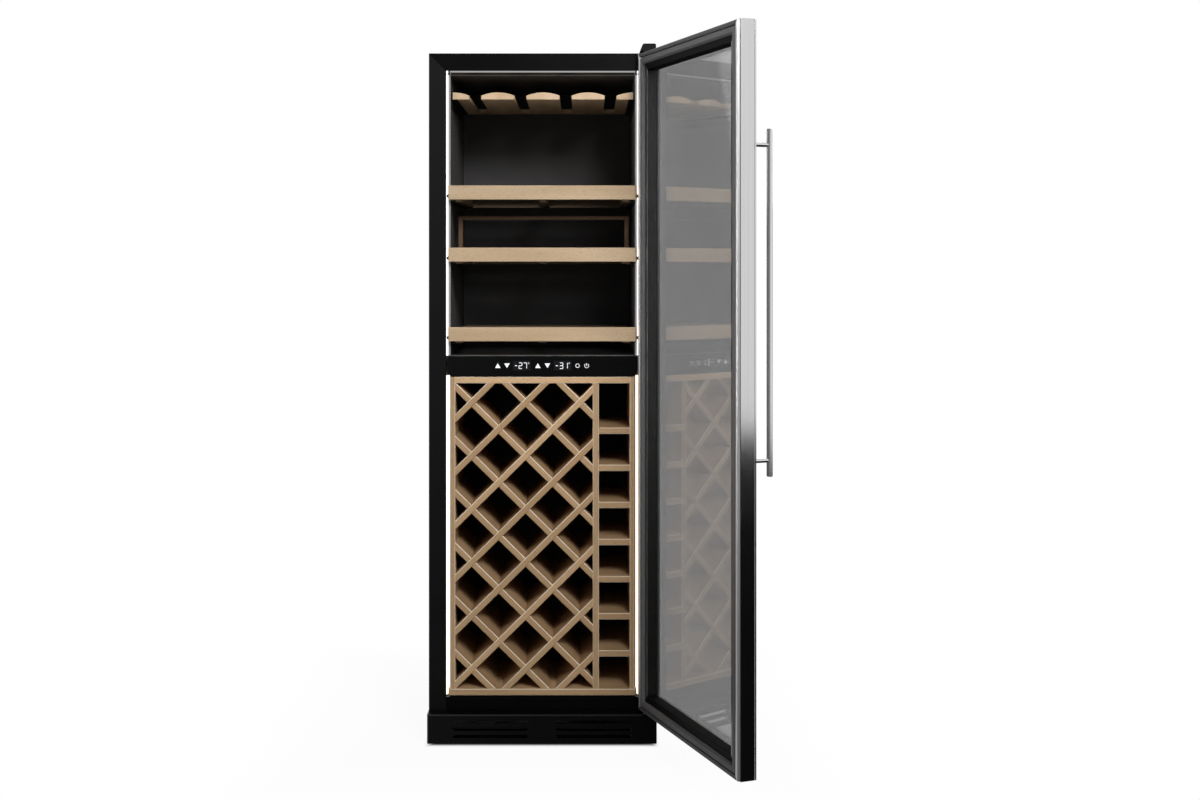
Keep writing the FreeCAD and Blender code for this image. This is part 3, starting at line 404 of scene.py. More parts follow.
def tinted_glass(name, tint, cover):
    """Grey solar glass with a reflecting coat and a faint smear."""
    f = Finish(name)
    smear = f.noise(5.0, 4.0)
    dust = f.noise(700.0, 2.0).between(0.62, 0.8)
    return f.surface({
        "Base Color": f.mix(dust, shade(tint), shade(tint, 2.0)),
        "Roughness": 0.004 + 0.01 * smear,
        "IOR": 2.5,
        "Specular IOR Level": 1.0,
        "Alpha": cover + 0.03 * smear + 0.04 * dust,
    })


def circuit_board(name):
    """Green solder mask with copper tracks under it."""
    f = Finish(name)
    tracks = f.node("ShaderNodeTexBrick", {"offset": 0.5}, {
        "Vector": f.laid((math.pi / 2, 0.0, 0.0)), "Scale": 120.0, "Mortar Size": 0.03}, out="Fac")
    haze = f.noise(80.0, 2.0)
    return f.surface({
        "Base Color": f.mix(tracks, shade((0.012, 0.09, 0.04)), shade((0.05, 0.2, 0.08))),
        "Roughness": 0.35 + 0.15 * haze,
        "Normal": f.relief(tracks, 0.00005, 0.4),
    })


def foam_core(name):
    """Cream polyurethane foam with small cells."""
    f = Finish(name)
    cells = f.node("ShaderNodeTexVoronoi", {"feature": "F1"}, {"Vector": f.place, "Scale": 420.0})
    skin = f.noise(12.0, 3.0)
    return f.surface({
        "Base Color": f.mix(skin, shade((0.7, 0.62, 0.4)), shade((0.82, 0.74, 0.52))),
        "Roughness": 0.8 + 0.1 * cells,
        "Normal": f.relief(cells, 0.0004, 0.5),
    })


def foot_finish(name, zinc):
    """Black moulded sole below, zinc plated stem and nut above."""
    f = Finish(name)
    sole_top = 0.0121
    stem = f.axes()[2].over(sole_top)
    thread = f.node("ShaderNodeTexWave", {"wave_type": "BANDS", "bands_direction": "Z"},
                    {"Vector": f.place, "Scale": 210.0}, out="Fac")
    pits = f.noise(1100.0, 2.0)
    return f.surface({
        "Base Color": f.mix(stem, shade((0.012, 0.012, 0.013)), shade(zinc)),
        "Metallic": stem,
        "Roughness": 0.52 - 0.2 * stem + 0.12 * pits,
        "Normal": f.relief(thread * stem + pits * 0.1, 0.0003, 0.4),
    })


def glowing_mark(name, colour):
    """Back lit signs of the control panel."""
    f = Finish(name)
    print_dots = f.noise(2500.0, 1.0)
    return f.surface({
        "Base Color": grey(0.5),
        "Roughness": 0.4 + 0.1 * print_dots,
        "Emission Color": f.mix(print_dots * 0.3, shade(colour), shade(colour, 0.8)),
        "Emission Strength": 0.7,
    })


def dress(material, *names):
    """Puts a finish on CAD nodes."""
    for name in names:
        for slot in frame["nodes"][name].material_slots:
            slot.material = material


def piece_from(name, bm, body, material, smooth=None):
    """Turns a bmesh into a piece that rides a body. A smooth angle rounds the shading below it."""
    bmesh.ops.remove_doubles(bm, verts=bm.verts, dist=1e-7)
    mesh = bpy.data.meshes.new(name)
    bm.to_mesh(mesh)
    bm.free()
    if smooth is not None:
        mesh.shade_smooth()
        mesh.set_sharp_from_angle(angle=smooth)
    mesh.materials.append(material)
    piece = bpy.data.objects.new(name, mesh)
    bpy.context.scene.collection.objects.link(piece)
    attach(piece, body)
    return piece


def closed_box(node):
    """Lowest and highest corner of a door node with the door turned shut."""
    back = DOOR_REST.inverted()
    points = [back @ vertex.co for vertex in frame["nodes"][node].data.vertices]
    return [Vector(pick(p[i] for p in points) for i in range(3)) for pick in (min, max)]


def add_block(bm, low, high, bevel):
    """A block between two corners, with its edges bevelled."""
    made = bmesh.ops.create_cube(bm, size=1.0)["verts"]
    size, centre = high - low, (high + low) / 2
    for vertex in made:
        vertex.co = centre + Vector(vertex.co[i] * size[i] for i in range(3))
    if bevel:
        edges = list({edge for vertex in made for edge in vertex.link_edges})
        bmesh.ops.bevel(bm, geom=edges, offset=bevel, segments=2, profile=0.7, affect="EDGES")


def add_sign(bm, outline, front, proud):
    """A thin raised sign. The outline runs anticlockwise as seen from the front."""
    face = [bm.verts.new((x, front - proud, z)) for x, z in outline]
    foot = [bm.verts.new((x, front, z)) for x, z in outline]
    bm.faces.new(face)
    for i in range(len(outline)):
        j = (i + 1) % len(outline)
        bm.faces.new((face[j], face[i], foot[i], foot[j]))


def add_ring(bm, x, z, radius, width, front, proud, first=0.0, last=360.0, steps=28):
    """A raised ring or arc, made of short blocks."""
    for i in range(steps):
        a = math.radians(first + (last - first) * i / steps)
        b = math.radians(first + (last - first) * (i + 1) / steps)
        inner, outer = radius - width / 2, radius + width / 2
        corners = ((inner, a), (outer, a), (outer, b), (inner, b))
        add_sign(bm, [(x + r * math.cos(t), z + r * math.sin(t)) for r, t in corners], front, proud)


def add_digit(bm, digit, x, z, height, front, proud):
    """One seven-segment digit of those that the displays show, centred at x and z."""
    lit = {1: "bc", 2: "abged", 3: "abgcd", 7: "abc"}[digit]
    w, h, t = height * 0.27, height / 2, height * 0.06
    bars = {
        "a": ((-w, h), (w, h)), "g": ((-w, 0.0), (w, 0.0)), "d": ((-w, -h), (w, -h)),
        "b": ((w, 0.0), (w, h)), "e": ((-w, -h), (-w, 0.0)), "c": ((w, -h), (w, 0.0)),
    }
    for bar in lit:
        (x0, z0), (x1, z1) = bars[bar]
        if z0 == z1:
            outline = [(x0 + t, z0 - t), (x1 - t, z0 - t), (x1, z0),
                       (x1 - t, z0 + t), (x0 + t, z0 + t), (x0, z0)]
        else:
            outline = [(x0, z0), (x0 + t, z0 + t), (x0 + t, z1 - t),
                       (x0, z1), (x0 - t, z1 - t), (x0 - t, z0 + t)]
        add_sign(bm, [(x + u, z + v) for u, v in outline], front, proud)


def grow(name, tree, places, values, body):
    """Runs a node tree over a mesh of places and keeps the result as a plain mesh that rides a body."""
    piece = bpy.data.objects.new(name, places)
    bpy.context.scene.collection.objects.link(piece)
    modifier = piece.modifiers.new(tree.name, "NODES")
    modifier.node_group = tree
    for item in tree.interface.items_tree:
        if item.item_type == "SOCKET" and item.in_out == "INPUT" and item.name in values:
            modifier[item.identifier] = values[item.name]
    depsgraph = bpy.context.evaluated_depsgraph_get()
    mesh = bpy.data.meshes.new_from_object(piece.evaluated_get(depsgraph), depsgraph=depsgraph)
    mesh.name = name
    piece.modifiers.clear()
    piece.data = mesh
    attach(piece, body)


def places_mesh(name, points):
    mesh = bpy.data.meshes.new(name)
    mesh.from_pydata(points, [], [])
    return mesh


def new_tree(name, sizes, vectors=()):
    """An empty geometry tree with named sizes, vectors and a finish; gives its nodes and its input node."""
    tree = bpy.data.node_groups.new(name, "GeometryNodeTree")
    sockets = [("Places", "Geometry")] + [(size, "Float") for size in sizes]
    sockets += [(vector, "Vector") for vector in vectors] + [("Finish", "Material")]
    for label, kind in sockets:
        tree.interface.new_socket(label, in_out="INPUT", socket_type="NodeSocket" + kind)
    tree.interface.new_socket("Pieces", in_out="OUTPUT", socket_type="NodeSocketGeometry")
    nodes = Nodes(tree)
    return nodes, nodes.node("NodeGroupInput")


def end_tree(nodes, given, instances):
    """Realizes the instances, gives them their finish and closes the tree."""
    real = nodes.node("GeometryNodeRealizeInstances", {}, {"Geometry": instances})
    done = nodes.node("GeometryNodeSetMaterial", {}, {"Geometry": real, "Material": given.also("Finish")})
    nodes.node("NodeGroupOutput", {}, {"Pieces": done})
    return nodes.tree


def screw_tree():
    """Cross recess pan head screws on given places, each turned by chance."""
    nodes, given = new_tree("screw_set", ("Head diameter", "Head height", "Recess width"), ("Facing",))
    width, height = given.also("Head diameter"), given.also("Head height")
    slot = given.also("Recess width")
    flank = nodes.node("GeometryNodeMeshCone", {}, {
        "Vertices": 20, "Radius Bottom": width * 0.5, "Radius Top": width * 0.44, "Depth": height * 0.6})
    crown = nodes.node("GeometryNodeMeshCone", {}, {
        "Vertices": 20, "Radius Bottom": width * 0.44, "Radius Top": width * 0.24, "Depth": height * 0.4})
    lifted = nodes.vector(z=height * 0.6)
    crowned = nodes.node("GeometryNodeTransform", {}, {"Geometry": crown, "Translation": lifted})
    head = nodes.node("GeometryNodeJoinGeometry", {}, {"Geometry": [flank, crowned]})
    cutters = []
    reach = width * 0.52
    for across, along in ((reach, slot), (slot, reach)):
        bar = nodes.node("GeometryNodeMeshCube", {}, {"Size": nodes.vector(across, along, height * 0.8)})
        top = nodes.vector(z=height * 0.95)
        cutters.append(nodes.node("GeometryNodeTransform", {}, {"Geometry": bar, "Translation": top}))
    cut = nodes.node("GeometryNodeMeshBoolean", {"operation": "DIFFERENCE", "solver": "EXACT"},
                     {"Mesh 1": head, "Mesh 2": cutters})
    chance = nodes.node("FunctionNodeRandomValue", {"data_type": "FLOAT"}, {3: 3.14, "Seed": 11}, out=1)
    placed = nodes.node("GeometryNodeInstanceOnPoints", {}, {
        "Points": given, "Instance": cut, "Rotation": given.also("Facing")})
    turned = nodes.node("GeometryNodeRotateInstances", {}, {
        "Instances": placed, "Rotation": nodes.vector(z=chance), "Local Space": True})
    return end_tree(nodes, given, turned)


def fin_tree():
    """A pack of thin plates, one on each place."""
    measures = ("Fin width", "Fin thickness", "Fin height")
    nodes, given = new_tree("fin_pack", measures)
    size = nodes.vector(*(given.also(measure) for measure in measures))
    plate = nodes.node("GeometryNodeMeshCube", {}, {"Size": size})
    placed = nodes.node("GeometryNodeInstanceOnPoints", {}, {"Points": given, "Instance": plate})
    return end_tree(nodes, given, placed)


def colour_property(name, description, default):
    return FloatVectorProperty(name=name, description=description, subtype="COLOR", default=default,
                               min=0.0, max=1.0)


def length_property(name, description, default, least=0.0):
    return FloatProperty(name=name, description=description, unit="LENGTH", default=default, min=least)


def power_property(name, description, default):
    return FloatProperty(name=name, description=description, unit="POWER", default=default, min=0.0)


class CoolerFinishes(bpy.types.PropertyGroup):
    """Colours of the cabinet, wood, door and lights."""

    frame_colour: colour_property(
        "Face frame", "Colour of the face frame, plinth and door", (0.0042, 0.0042, 0.0043))
    case_colour: colour_property("Case", "Colour of the outer panels", (0.009, 0.009, 0.0093))
    liner_colour: colour_property("Liner", "Colour of the inside walls", (0.076, 0.0725, 0.0732))
    beech_light: colour_property("Beech, pale", "Paler tone of the wood", (0.6, 0.452, 0.3))
    beech_dark: colour_property("Beech, dark", "Darker tone of the wood", (0.49, 0.352, 0.22))
    steel_colour: colour_property("Steel", "Colour of the handle and the door edges", (0.78, 0.78, 0.78))
    zinc_colour: colour_property("Zinc", "Colour of plated steel", (0.56, 0.57, 0.58))
    gasket_colour: colour_property("Seal", "Colour of the door seal's bellows", (0.13, 0.13, 0.132))
    lip_colour: colour_property("Seal lip", "Colour of the lip above and below the seal", (0.08, 0.08, 0.081))
    glass_tint: colour_property("Glass tint", "Colour held in the panes", (0.02, 0.021, 0.022))
    glass_cover: FloatProperty(name="Glass cover", description="Share of light that one face of a pane stops",
                               subtype="FACTOR", default=0.335, min=0.0, max=1.0)
    upper_light: colour_property("Upper light", "Colour of the lamps above the panel", (1.0, 0.985, 0.97))
    lower_light: colour_property("Lower light", "Colour of the lamps below the panel", (1.0, 0.9, 0.74))
    light_strength: FloatProperty(name="Light strength", description="Brightness of the lamp strips",
                                  default=3.0, min=0.0)
    mark_colour: colour_property("Signs", "Colour of the lit signs", (0.92, 0.95, 1.0))


class CoolerFittings(bpy.types.PropertyGroup):
    """Sizes of the small fittings."""

    strip_thickness: length_property(
        "Edge strip", "Thickness of the steel strips on the door's edges", 0.0003)
    strip_gap: length_property("Strip gap", "Gap between the two strips of an edge", 0.0016)
    seal_width: length_property("Seal width", "Width of the door seal at its foot", 0.018, 0.001)
    lip_height: length_property("Lip height", "Height of the lip round the door seal", 0.007, 0.0005)
    sign_proud: length_property("Sign relief", "Height of the signs above the glass", 0.00005)
    digit_height: length_property("Digit height", "Height of a display digit", 0.015, 0.001)
    triangle_width: length_property("Arrow width", "Width of an arrow sign", 0.0145, 0.001)
    screw_head: length_property("Screw head", "Diameter of a screw head", 0.0085, 0.001)
    screw_height: length_property("Screw height", "Height of a screw head", 0.0028, 0.0005)
    screw_recess: length_property("Screw recess", "Width of the cross recess", 0.0012, 0.0001)
    edge_screws: IntProperty(name="Edge screws", description="Screws along each upright edge of the back",
                             default=8, min=2)
    buffer_size: FloatVectorProperty(name="Buffer", description="Length, depth and height of a shelf buffer",
                                     subtype="XYZ_LENGTH", default=(0.0045, 0.006, 0.009), min=0.0)
    fin_pitch: length_property("Fin pitch", "Distance between condenser fins", 0.0032, 0.0005)
    fin_thickness: length_property("Fin thickness", "Thickness of a condenser fin", 0.0003, 0.0001)


class CoolerStage(bpy.types.PropertyGroup):
    """Camera, lamps, room and floor."""

    camera_place: FloatVectorProperty(name="Camera place", description="Where the camera stands",
                                      subtype="TRANSLATION", unit="LENGTH", default=(0.1138, -4.2342, 1.2357))
    camera_lens: FloatProperty(name="Lens", description="Focal length in millimetres",
                               default=45.42, min=1.0)
    camera_shift: FloatVectorProperty(name="Shift", description="Shift of the view, in image widths",
                                      size=2, default=(0.0118, -0.1094))
    key_power: power_property("Key light", "Power of the large front lamp", 17.5)
    fill_power: power_property("Fill light", "Power of the side lamp", 2.0)
    back_power: power_property("Back light", "Power of the lamp behind the cabinet", 60.0)
    room_light: FloatProperty(name="Room light", description="Brightness of the even light all round",
                              default=0.18, min=0.0)
    mirrored_room: FloatProperty(
        name="Mirrored room", description="Brightness of the wall that polished faces show",
        default=0.6, min=0.0)
    floor_colour: colour_property("Floor", "Colour of the floor", (0.9, 0.9, 0.9))


class WINECOOLER_OT_cabinet(bpy.types.Operator):
    """Finish the case, face frame, liner and control panel"""

    bl_idname = "wine_cooler.cabinet"
    bl_label = "Cabinet finishes"

    def lens_corners(self, lens):
        """Small opal corner pieces that join the upright strips to the one along the top."""
        low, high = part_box("light_lenses")
        width, setback, back, bevel = 0.009, 0.0003, 0.0025, 0.0003
        bm = bmesh.new()
        for side in (-1, 1):
            start, stop = sorted((side * (high.x - width), side * high.x))
            add_block(bm, Vector((start, low.y + setback, high.z - width)),
                      Vector((stop, low.y + back, high.z)), bevel)
        piece_from("lens_corners", bm, "cabinet", lens, SMOOTH_BELOW)

    def execute(self, context):
        paint = context.scene.cooler_finishes
        dress(powder_coat("case_paint", paint.case_colour, 0.34, UPRIGHT, 0.4), "outer_panels")
        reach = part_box("trim_sides")[1]
        corner = (reach.x, reach.z)
        black = paint.frame_colour
        dress(powder_coat("frame_paint_upright", black, 0.38, UPRIGHT, 0.14, corner), "trim_sides")
        # Painted shade: the rails and the plinth take darker copies of the frame black, 0.6 and 0.25 of it.
        dress(powder_coat("frame_paint_cross", toned(black, 0.6), 0.22, ACROSS, 0.08, corner), "trim_rails")
        dress(powder_coat("plinth_paint", toned(black, 0.25), 0.14, ACROSS, 0.5), "plinth")
        liner = paint.liner_colour
        dress(moulded_plastic("liner_plastic", liner, 0.5, 700.0), "liner_upper", "liner_lower")
        dress(moulded_plastic("duct_plastic", toned(liner, 0.85), 0.46, 800.0), "air_ducts")
        dress(galvanised_sheet("galvanised_sheet", paint.zinc_colour), "back_panel")
        # Painted shade: the base pan takes the zinc colour at 0.05, nearly black, in place of the shade it
        # sits in under the cabinet.
        dress(galvanised_sheet("passivated_sheet", toned(paint.zinc_colour, 0.05)), "base_pan")
        dress(foam_core("foam_core"), "foam_insulation")
        lens = light_lens("lamp_lens", paint.upper_light, paint.lower_light, paint.light_strength)
        dress(lens, "light_lenses")
        self.lens_corners(lens)
        dress(moulded_plastic("housing_plastic", (0.005, 0.005, 0.0053), 0.28, 1200.0, 0.08),
              "control_housing", "hinge_cover")
        dress(panel_glass("panel_glass"), "control_glass")
        dress(circuit_board("circuit_board"), "control_board")
        dress(zinc_plated("hinge_plate", paint.zinc_colour), "hinge_top_bracket", "hinge_bottom_bracket")
        dress(powder_coat("runner_paint", (0.012, 0.012, 0.0125), 0.34, INWARD),
              "shelf_tracks", "glass_rack_brackets")
        return {"FINISHED"}


class WINECOOLER_OT_woodwork(bpy.types.Operator):
    """Finish the shelves, racks and lattice in beech"""

    bl_idname = "wine_cooler.woodwork"
    bl_label = "Beech woodwork"

    def execute(self, context):
        paint = context.scene.cooler_finishes
        pale = (paint.beech_light, paint.beech_dark)
        rack = stained(pale, (0.92, 0.82, 0.7))
        # Painted light: the fascias' tones rise from the upper to the lower shelf to make up for light that
        # falls off downwards, and the stemware rack's tone is raised to look more brightly lit.
        cuts = [
            ("fascia_upper", ACROSS, (0.11, 0.05, 0.02), 1.03, ("shelf_fascia_upper",)),
            ("fascia_middle", ACROSS, (0.52, -0.03, 0.07), 1.07, ("shelf_fascia_middle",)),
            ("fascia_lower", ACROSS, (0.93, 0.07, -0.09), 1.1, ("shelf_fascia_lower",)),
            ("deck", ACROSS, (0.3, 0.2, 0.1), 0.36, ["shelf_deck_" + level for level in SHELVES]),
            ("stemware", INWARD, (0.2, 0.4, 0.12), 1.3, ("glass_rack",)),
        ]
        # Painted light: the top rail's tone is raised above the other rack boards so that it looks more
        # brightly lit.
        boards = [
            ("rack_upright", UPRIGHT, (0.07, 0.1, 0.6), 0.98, ("rack_sides", "rack_divider")),
            ("rack_rail", ACROSS, (0.44, 0.02, 0.5), 1.3, ("rack_top_rail",)),
            ("rack_cross", ACROSS, (0.6, 0.06, 0.22), 1.04, ("rack_front_rail", "rack_base")),
            ("cubby", ACROSS, (0.33, 0.08, 0.41), 0.98, ("cubby_shelves",)),
            ("rising", RISING, (0.15, 0.05, 0.3), 1.08, ("rising_boards",)),
            ("falling", FALLING, (0.4, 0.09, 0.2), 1.02, ("falling_boards",)),
        ]
        low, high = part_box("rising_boards")
        middle = (low + high) / 2
        across, pitch = LATTICE_CELL
        slope, offset = pitch / across, 0.004
        lattices = {"rising": (middle.x + offset, middle.z, slope, pitch),
                    "falling": (middle.x + offset, middle.z, -slope, pitch)}
        stand = stained(pale, (1.0, 0.8, 0.66))
        dress(beech("beech_stand", *stand, ACROSS, (0.8, 0.1, 0.3), 0.23), "display_stand")
        for name, turn, start, tone, nodes in cuts:
            dress(beech("beech_" + name, *pale, turn, start, tone), *nodes)
        for name, turn, start, tone, nodes in boards:
            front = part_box(nodes[0])[0].y
            dress(beech("beech_" + name, *rack, turn, start, tone, front, lattices.get(name)), *nodes)
        dress(powder_coat("slide_paint", (0.016, 0.016, 0.0165), 0.3, INWARD),
              *("shelf_runners_" + level for level in SHELVES))
        return {"FINISHED"}


class WINECOOLER_OT_machinery(bpy.types.Operator):
    """Finish the cooling parts, fans and feet, and add the condenser's fins"""

    bl_idname = "wine_cooler.machinery"
    bl_label = "Cooling parts"

    def execute(self, context):
        paint = context.scene.cooler_finishes
        sizes = context.scene.cooler_fittings
        alloy = bare_aluminium("bare_aluminium", (0.66, 0.67, 0.68))
        dress(powder_coat("compressor_enamel", (0.009, 0.009, 0.0095), 0.18), "compressor")
        dress(alloy, "condenser", "evaporators")
        dress(moulded_plastic("fan_frame_plastic", (0.012, 0.012, 0.0125), 0.42, 1000.0),
              "condenser_fan_frame", "drip_tray", "power_inlet")
        dress(moulded_plastic("fan_blade_plastic", (0.016, 0.016, 0.017), 0.34, 1400.0),
              "fan_condenser", "fan_upper", "fan_lower")
        dress(foot_finish("levelling_foot", paint.zinc_colour),
              "foot_front_left", "foot_front_right", "foot_rear_left", "foot_rear_right")
        low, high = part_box("condenser")
        end_plates, side_gap, foot_gap = 0.036, 0.001, 0.006
        count = int((high.y - low.y - end_plates) / sizes.fin_pitch)
        middle = (low + high) / 2
        first = middle.y - sizes.fin_pitch * (count - 1) / 2
        places = [(middle.x, first + sizes.fin_pitch * i, middle.z) for i in range(count)]
        grow("condenser_fins", fin_tree(), places_mesh("fin_places", places), {
            "Fin width": high.x - low.x - side_gap, "Fin thickness": sizes.fin_thickness,
            "Fin height": high.z - low.z - foot_gap, "Finish": alloy}, "cabinet")
        return {"FINISHED"}


class WINECOOLER_OT_door(bpy.types.Operator):
    """Finish the door, its panes, handle and hinge bushes"""

    bl_idname = "wine_cooler.door"
    bl_label = "Door finishes"

    def execute(self, context):
        paint = context.scene.cooler_finishes
        black = paint.frame_colour
        dress(powder_coat("door_paint_upright", black, 0.2, UPRIGHT, 1.0, coat=1.0), "door_stiles")
        dress(powder_coat("door_paint_cross", black, 0.45, ACROSS, 0.06), "door_rails")
        glass = tinted_glass("tinted_glass", paint.glass_tint, paint.glass_cover)
        dress(glass, "door_glass_outer", "door_glass_inner")
        dress(bare_aluminium("spacer_aluminium", (0.5, 0.5, 0.5)), "door_spacer")
        dress(moulded_plastic("bush_nylon", (0.72, 0.72, 0.7), 0.4, 1500.0, 0.5), "door_bushes")
        handle = toned(paint.steel_colour, 1.1)
        dress(brushed_steel("handle_steel", handle, UPRIGHT, 0.03), "handle_bar", "handle_posts")
        return {"FINISHED"}


class WINECOOLER_OT_seal(bpy.types.Operator):
    """Make the door's bellows seal, the lips above and below it and the steel returns beside it"""

    bl_idname = "wine_cooler.seal"
    bl_label = "Door seal"

    def ring(self, name, section, low, high, face, runs, slot, material):
        """Runs of one section on the door's inner face, mitred at the corners: foot, right, head and left."""
        bm = bmesh.new()
        loops = []
        for side_x, side_z in ((-1, -1), (1, -1), (1, 1), (-1, 1)):
            loop = []
            for inward, outward in section:
                x = low.x + inward if side_x < 0 else high.x - inward
                z = low.z + inward if side_z < 0 else high.z - inward
                loop.append(bm.verts.new(DOOR_REST @ Vector((x, face + outward, z))))
            loops.append(loop)
        for run in runs:
            here, there = loops[run], loops[(run + 1) % 4]
            for i in range(len(section)):
                j = (i + 1) % len(section)
                bm.faces.new((here[i], here[j], there[j], there[i]))
            if len(runs) < 4:
                bm.faces.new(here)
                bm.faces.new(there)
        bmesh.ops.recalc_face_normals(bm, faces=bm.faces)
        return piece_from(name, bm, "door", material, math.radians(50))

    def execute(self, context):
        paint = context.scene.cooler_finishes
        sizes = context.scene.cooler_fittings
        low, high = closed_box("door_gasket")
        face = closed_box("door_stiles")[1].y
        lift = high.y - face
        bellows = [(u * sizes.seal_width, v * lift) for u, v in BELLOWS]
        seal = self.ring("door_seal", bellows, low, high, face, (0, 1, 2, 3), "gasket_grey",
                         soft_rubber("seal_rubber", paint.gasket_colour, 0.4))
        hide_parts("door_gasket")
        edge_gap = 0.0015
        edge, rise = closed_box("door_stiles")[1].x - high.x - edge_gap, sizes.lip_height
        rounded, sloped = ([((u - 1.0) * edge, v * rise) for u, v in section] for section in (LOBE, WEDGE))
        self.ring("door_seal_lip", rounded, low, high, face, (0, 2), "gasket_grey",
                  soft_rubber("lip_rubber", paint.lip_colour, 0.4))
        steel = brushed_steel("return_steel", toned(paint.steel_colour, 0.72), UPRIGHT, 0.27, 0.9)
        self.ring("door_free_return", rounded, low, high, face, (3,), "satin_steel", steel)
        polished = brushed_steel("hinge_return_steel", paint.steel_colour, UPRIGHT, 0.16)
        self.ring("door_hinge_return", sloped, low, high, face, (1,), "satin_steel", polished)
        return {"FINISHED"}


class WINECOOLER_OT_edge_strips(bpy.types.Operator):
    """Add the steel strips along the door's upright edges"""

    bl_idname = "wine_cooler.edge_strips"
    bl_label = "Door edge strips"

    def execute(self, context):
        paint = context.scene.cooler_finishes
        sizes = context.scene.cooler_fittings
        frame_low, frame_high = closed_box("door_stiles")
        glass_low, glass_high = closed_box("door_glass_outer")
        thick, gap = sizes.strip_thickness, sizes.strip_gap
        inner_gap, end_gap = 0.0012, 0.0004
        runs = ((frame_low.y + gap / 2, frame_high.y - inner_gap), (glass_low.y, glass_high.y - gap / 2))
        bm = bmesh.new()
        for side in (frame_low.x - thick, frame_high.x):
            for front, back in runs:
                add_block(bm, Vector((side, front, frame_low.z + end_gap)),
                          Vector((side + thick, back, frame_high.z - end_gap)), thick * 0.3)
        bm.transform(DOOR_REST)
        piece_from("door_edge_strips", bm, "door",
                   brushed_steel("edge_steel", paint.steel_colour, UPRIGHT, 0.02), SMOOTH_BELOW)
        return {"FINISHED"}


class WINECOOLER_OT_panel_signs(bpy.types.Operator):
    """Add the arrows, displays and key signs of the control panel"""

    bl_idname = "wine_cooler.panel_signs"
    bl_label = "Control panel signs"

    def plate(self, bm, left, right, foot, head, front, proud):
        add_sign(bm, [(left, foot), (right, foot), (right, head), (left, head)], front, proud)

    def execute(self, context):
        sizes = context.scene.cooler_fittings
        low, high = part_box("control_glass")
        front, proud = low.y, sizes.sign_proud
        row = (low.z + high.z) / 2
        half, rise = sizes.triangle_width / 2, sizes.triangle_width * 0.42
        bm = bmesh.new()
        for x, way in ARROWS:
            outline = [(x - half, row - rise * way), (x + half, row - rise * way), (x, row + rise * way)]
            add_sign(bm, outline if way > 0 else outline[::-1], front, proud)
        tall, bar = sizes.digit_height, 0.001
        for x, first, second in DISPLAYS:
            self.plate(bm, x + MINUS[0], x + MINUS[1], row - bar, row + bar, front, proud)
            add_digit(bm, first, x + FIRST_DIGIT, row, tall, front, proud)
            add_digit(bm, second, x + SECOND_DIGIT, row, tall, front, proud)
            add_ring(bm, x + DEGREE, row + tall * 0.42, 0.0016, 0.0006, front, proud, steps=14)
        add_ring(bm, LAMP_KEY, row, 0.0048, 0.0014, front, proud)
        add_ring(bm, POWER_KEY, row, 0.0054, 0.0012, front, proud, 125.0, 415.0)
        half_stroke, stroke = 0.0008, 0.0064
        self.plate(bm, POWER_KEY - half_stroke, POWER_KEY + half_stroke, row, row + stroke, front, proud)
        piece_from("panel_signs", bm, "cabinet",
                   glowing_mark("panel_sign_light", context.scene.cooler_finishes.mark_colour))
        return {"FINISHED"}


class WINECOOLER_OT_buffers(bpy.types.Operator):
    """Add the rubber buffers at the ends of the shelf fascias"""

    bl_idname = "wine_cooler.buffers"
    bl_label = "Shelf buffers"

    def execute(self, context):
        size = Vector(context.scene.cooler_fittings.buffer_size)
        rubber = soft_rubber("buffer_rubber", (0.012, 0.012, 0.012))
        setback, lift, bevel = 0.003, 0.005, 0.0008
        for level in SHELVES:
            low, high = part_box("shelf_fascia_" + level)
            bm = bmesh.new()
            for x in (low.x - size.x, high.x):
                corner = Vector((x, low.y + setback, low.z + lift))
                add_block(bm, corner, corner + size, bevel)
            piece_from("shelf_buffers_" + level, bm, "shelf_" + level, rubber, SMOOTH_BELOW)
        return {"FINISHED"}


class WINECOOLER_OT_screws(bpy.types.Operator):
    """Add the screws of the back panel and the fan frame"""

    bl_idname = "wine_cooler.screws"
    bl_label = "Screws"

    def execute(self, context):
        sizes = context.scene.cooler_fittings
        finish = zinc_plated("screw_zinc", context.scene.cooler_finishes.zinc_colour)
        values = {"Head diameter": sizes.screw_head, "Head height": sizes.screw_height,
                  "Recess width": sizes.screw_recess, "Finish": finish}
        tree = screw_tree()
        low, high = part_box("back_panel")
        first, last, inset = 0.31, high.z - 0.03, 0.014
        step = (last - first) / (sizes.edge_screws - 1)
        places = [(x, high.y, first + step * i) for x in (low.x + inset, high.x - inset)
                  for i in range(sizes.edge_screws)]
        places += [(x, high.y, high.z - inset) for x in (-0.16, 0.0, 0.16)]
        grow("back_screws", tree, places_mesh("back_screw_places", places),
             dict(values, Facing=(-math.pi / 2, 0.0, 0.0)), "cabinet")
        low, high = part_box("condenser_fan_frame")
        inset = 0.0075
        places = [(high.x, y, z) for y in (low.y + inset, high.y - inset)
                  for z in (low.z + inset, high.z - inset)]
        grow("fan_frame_screws", tree, places_mesh("fan_screw_places", places),
             dict(values, Facing=(0.0, math.pi / 2, 0.0)), "cabinet")
        return {"FINISHED"}


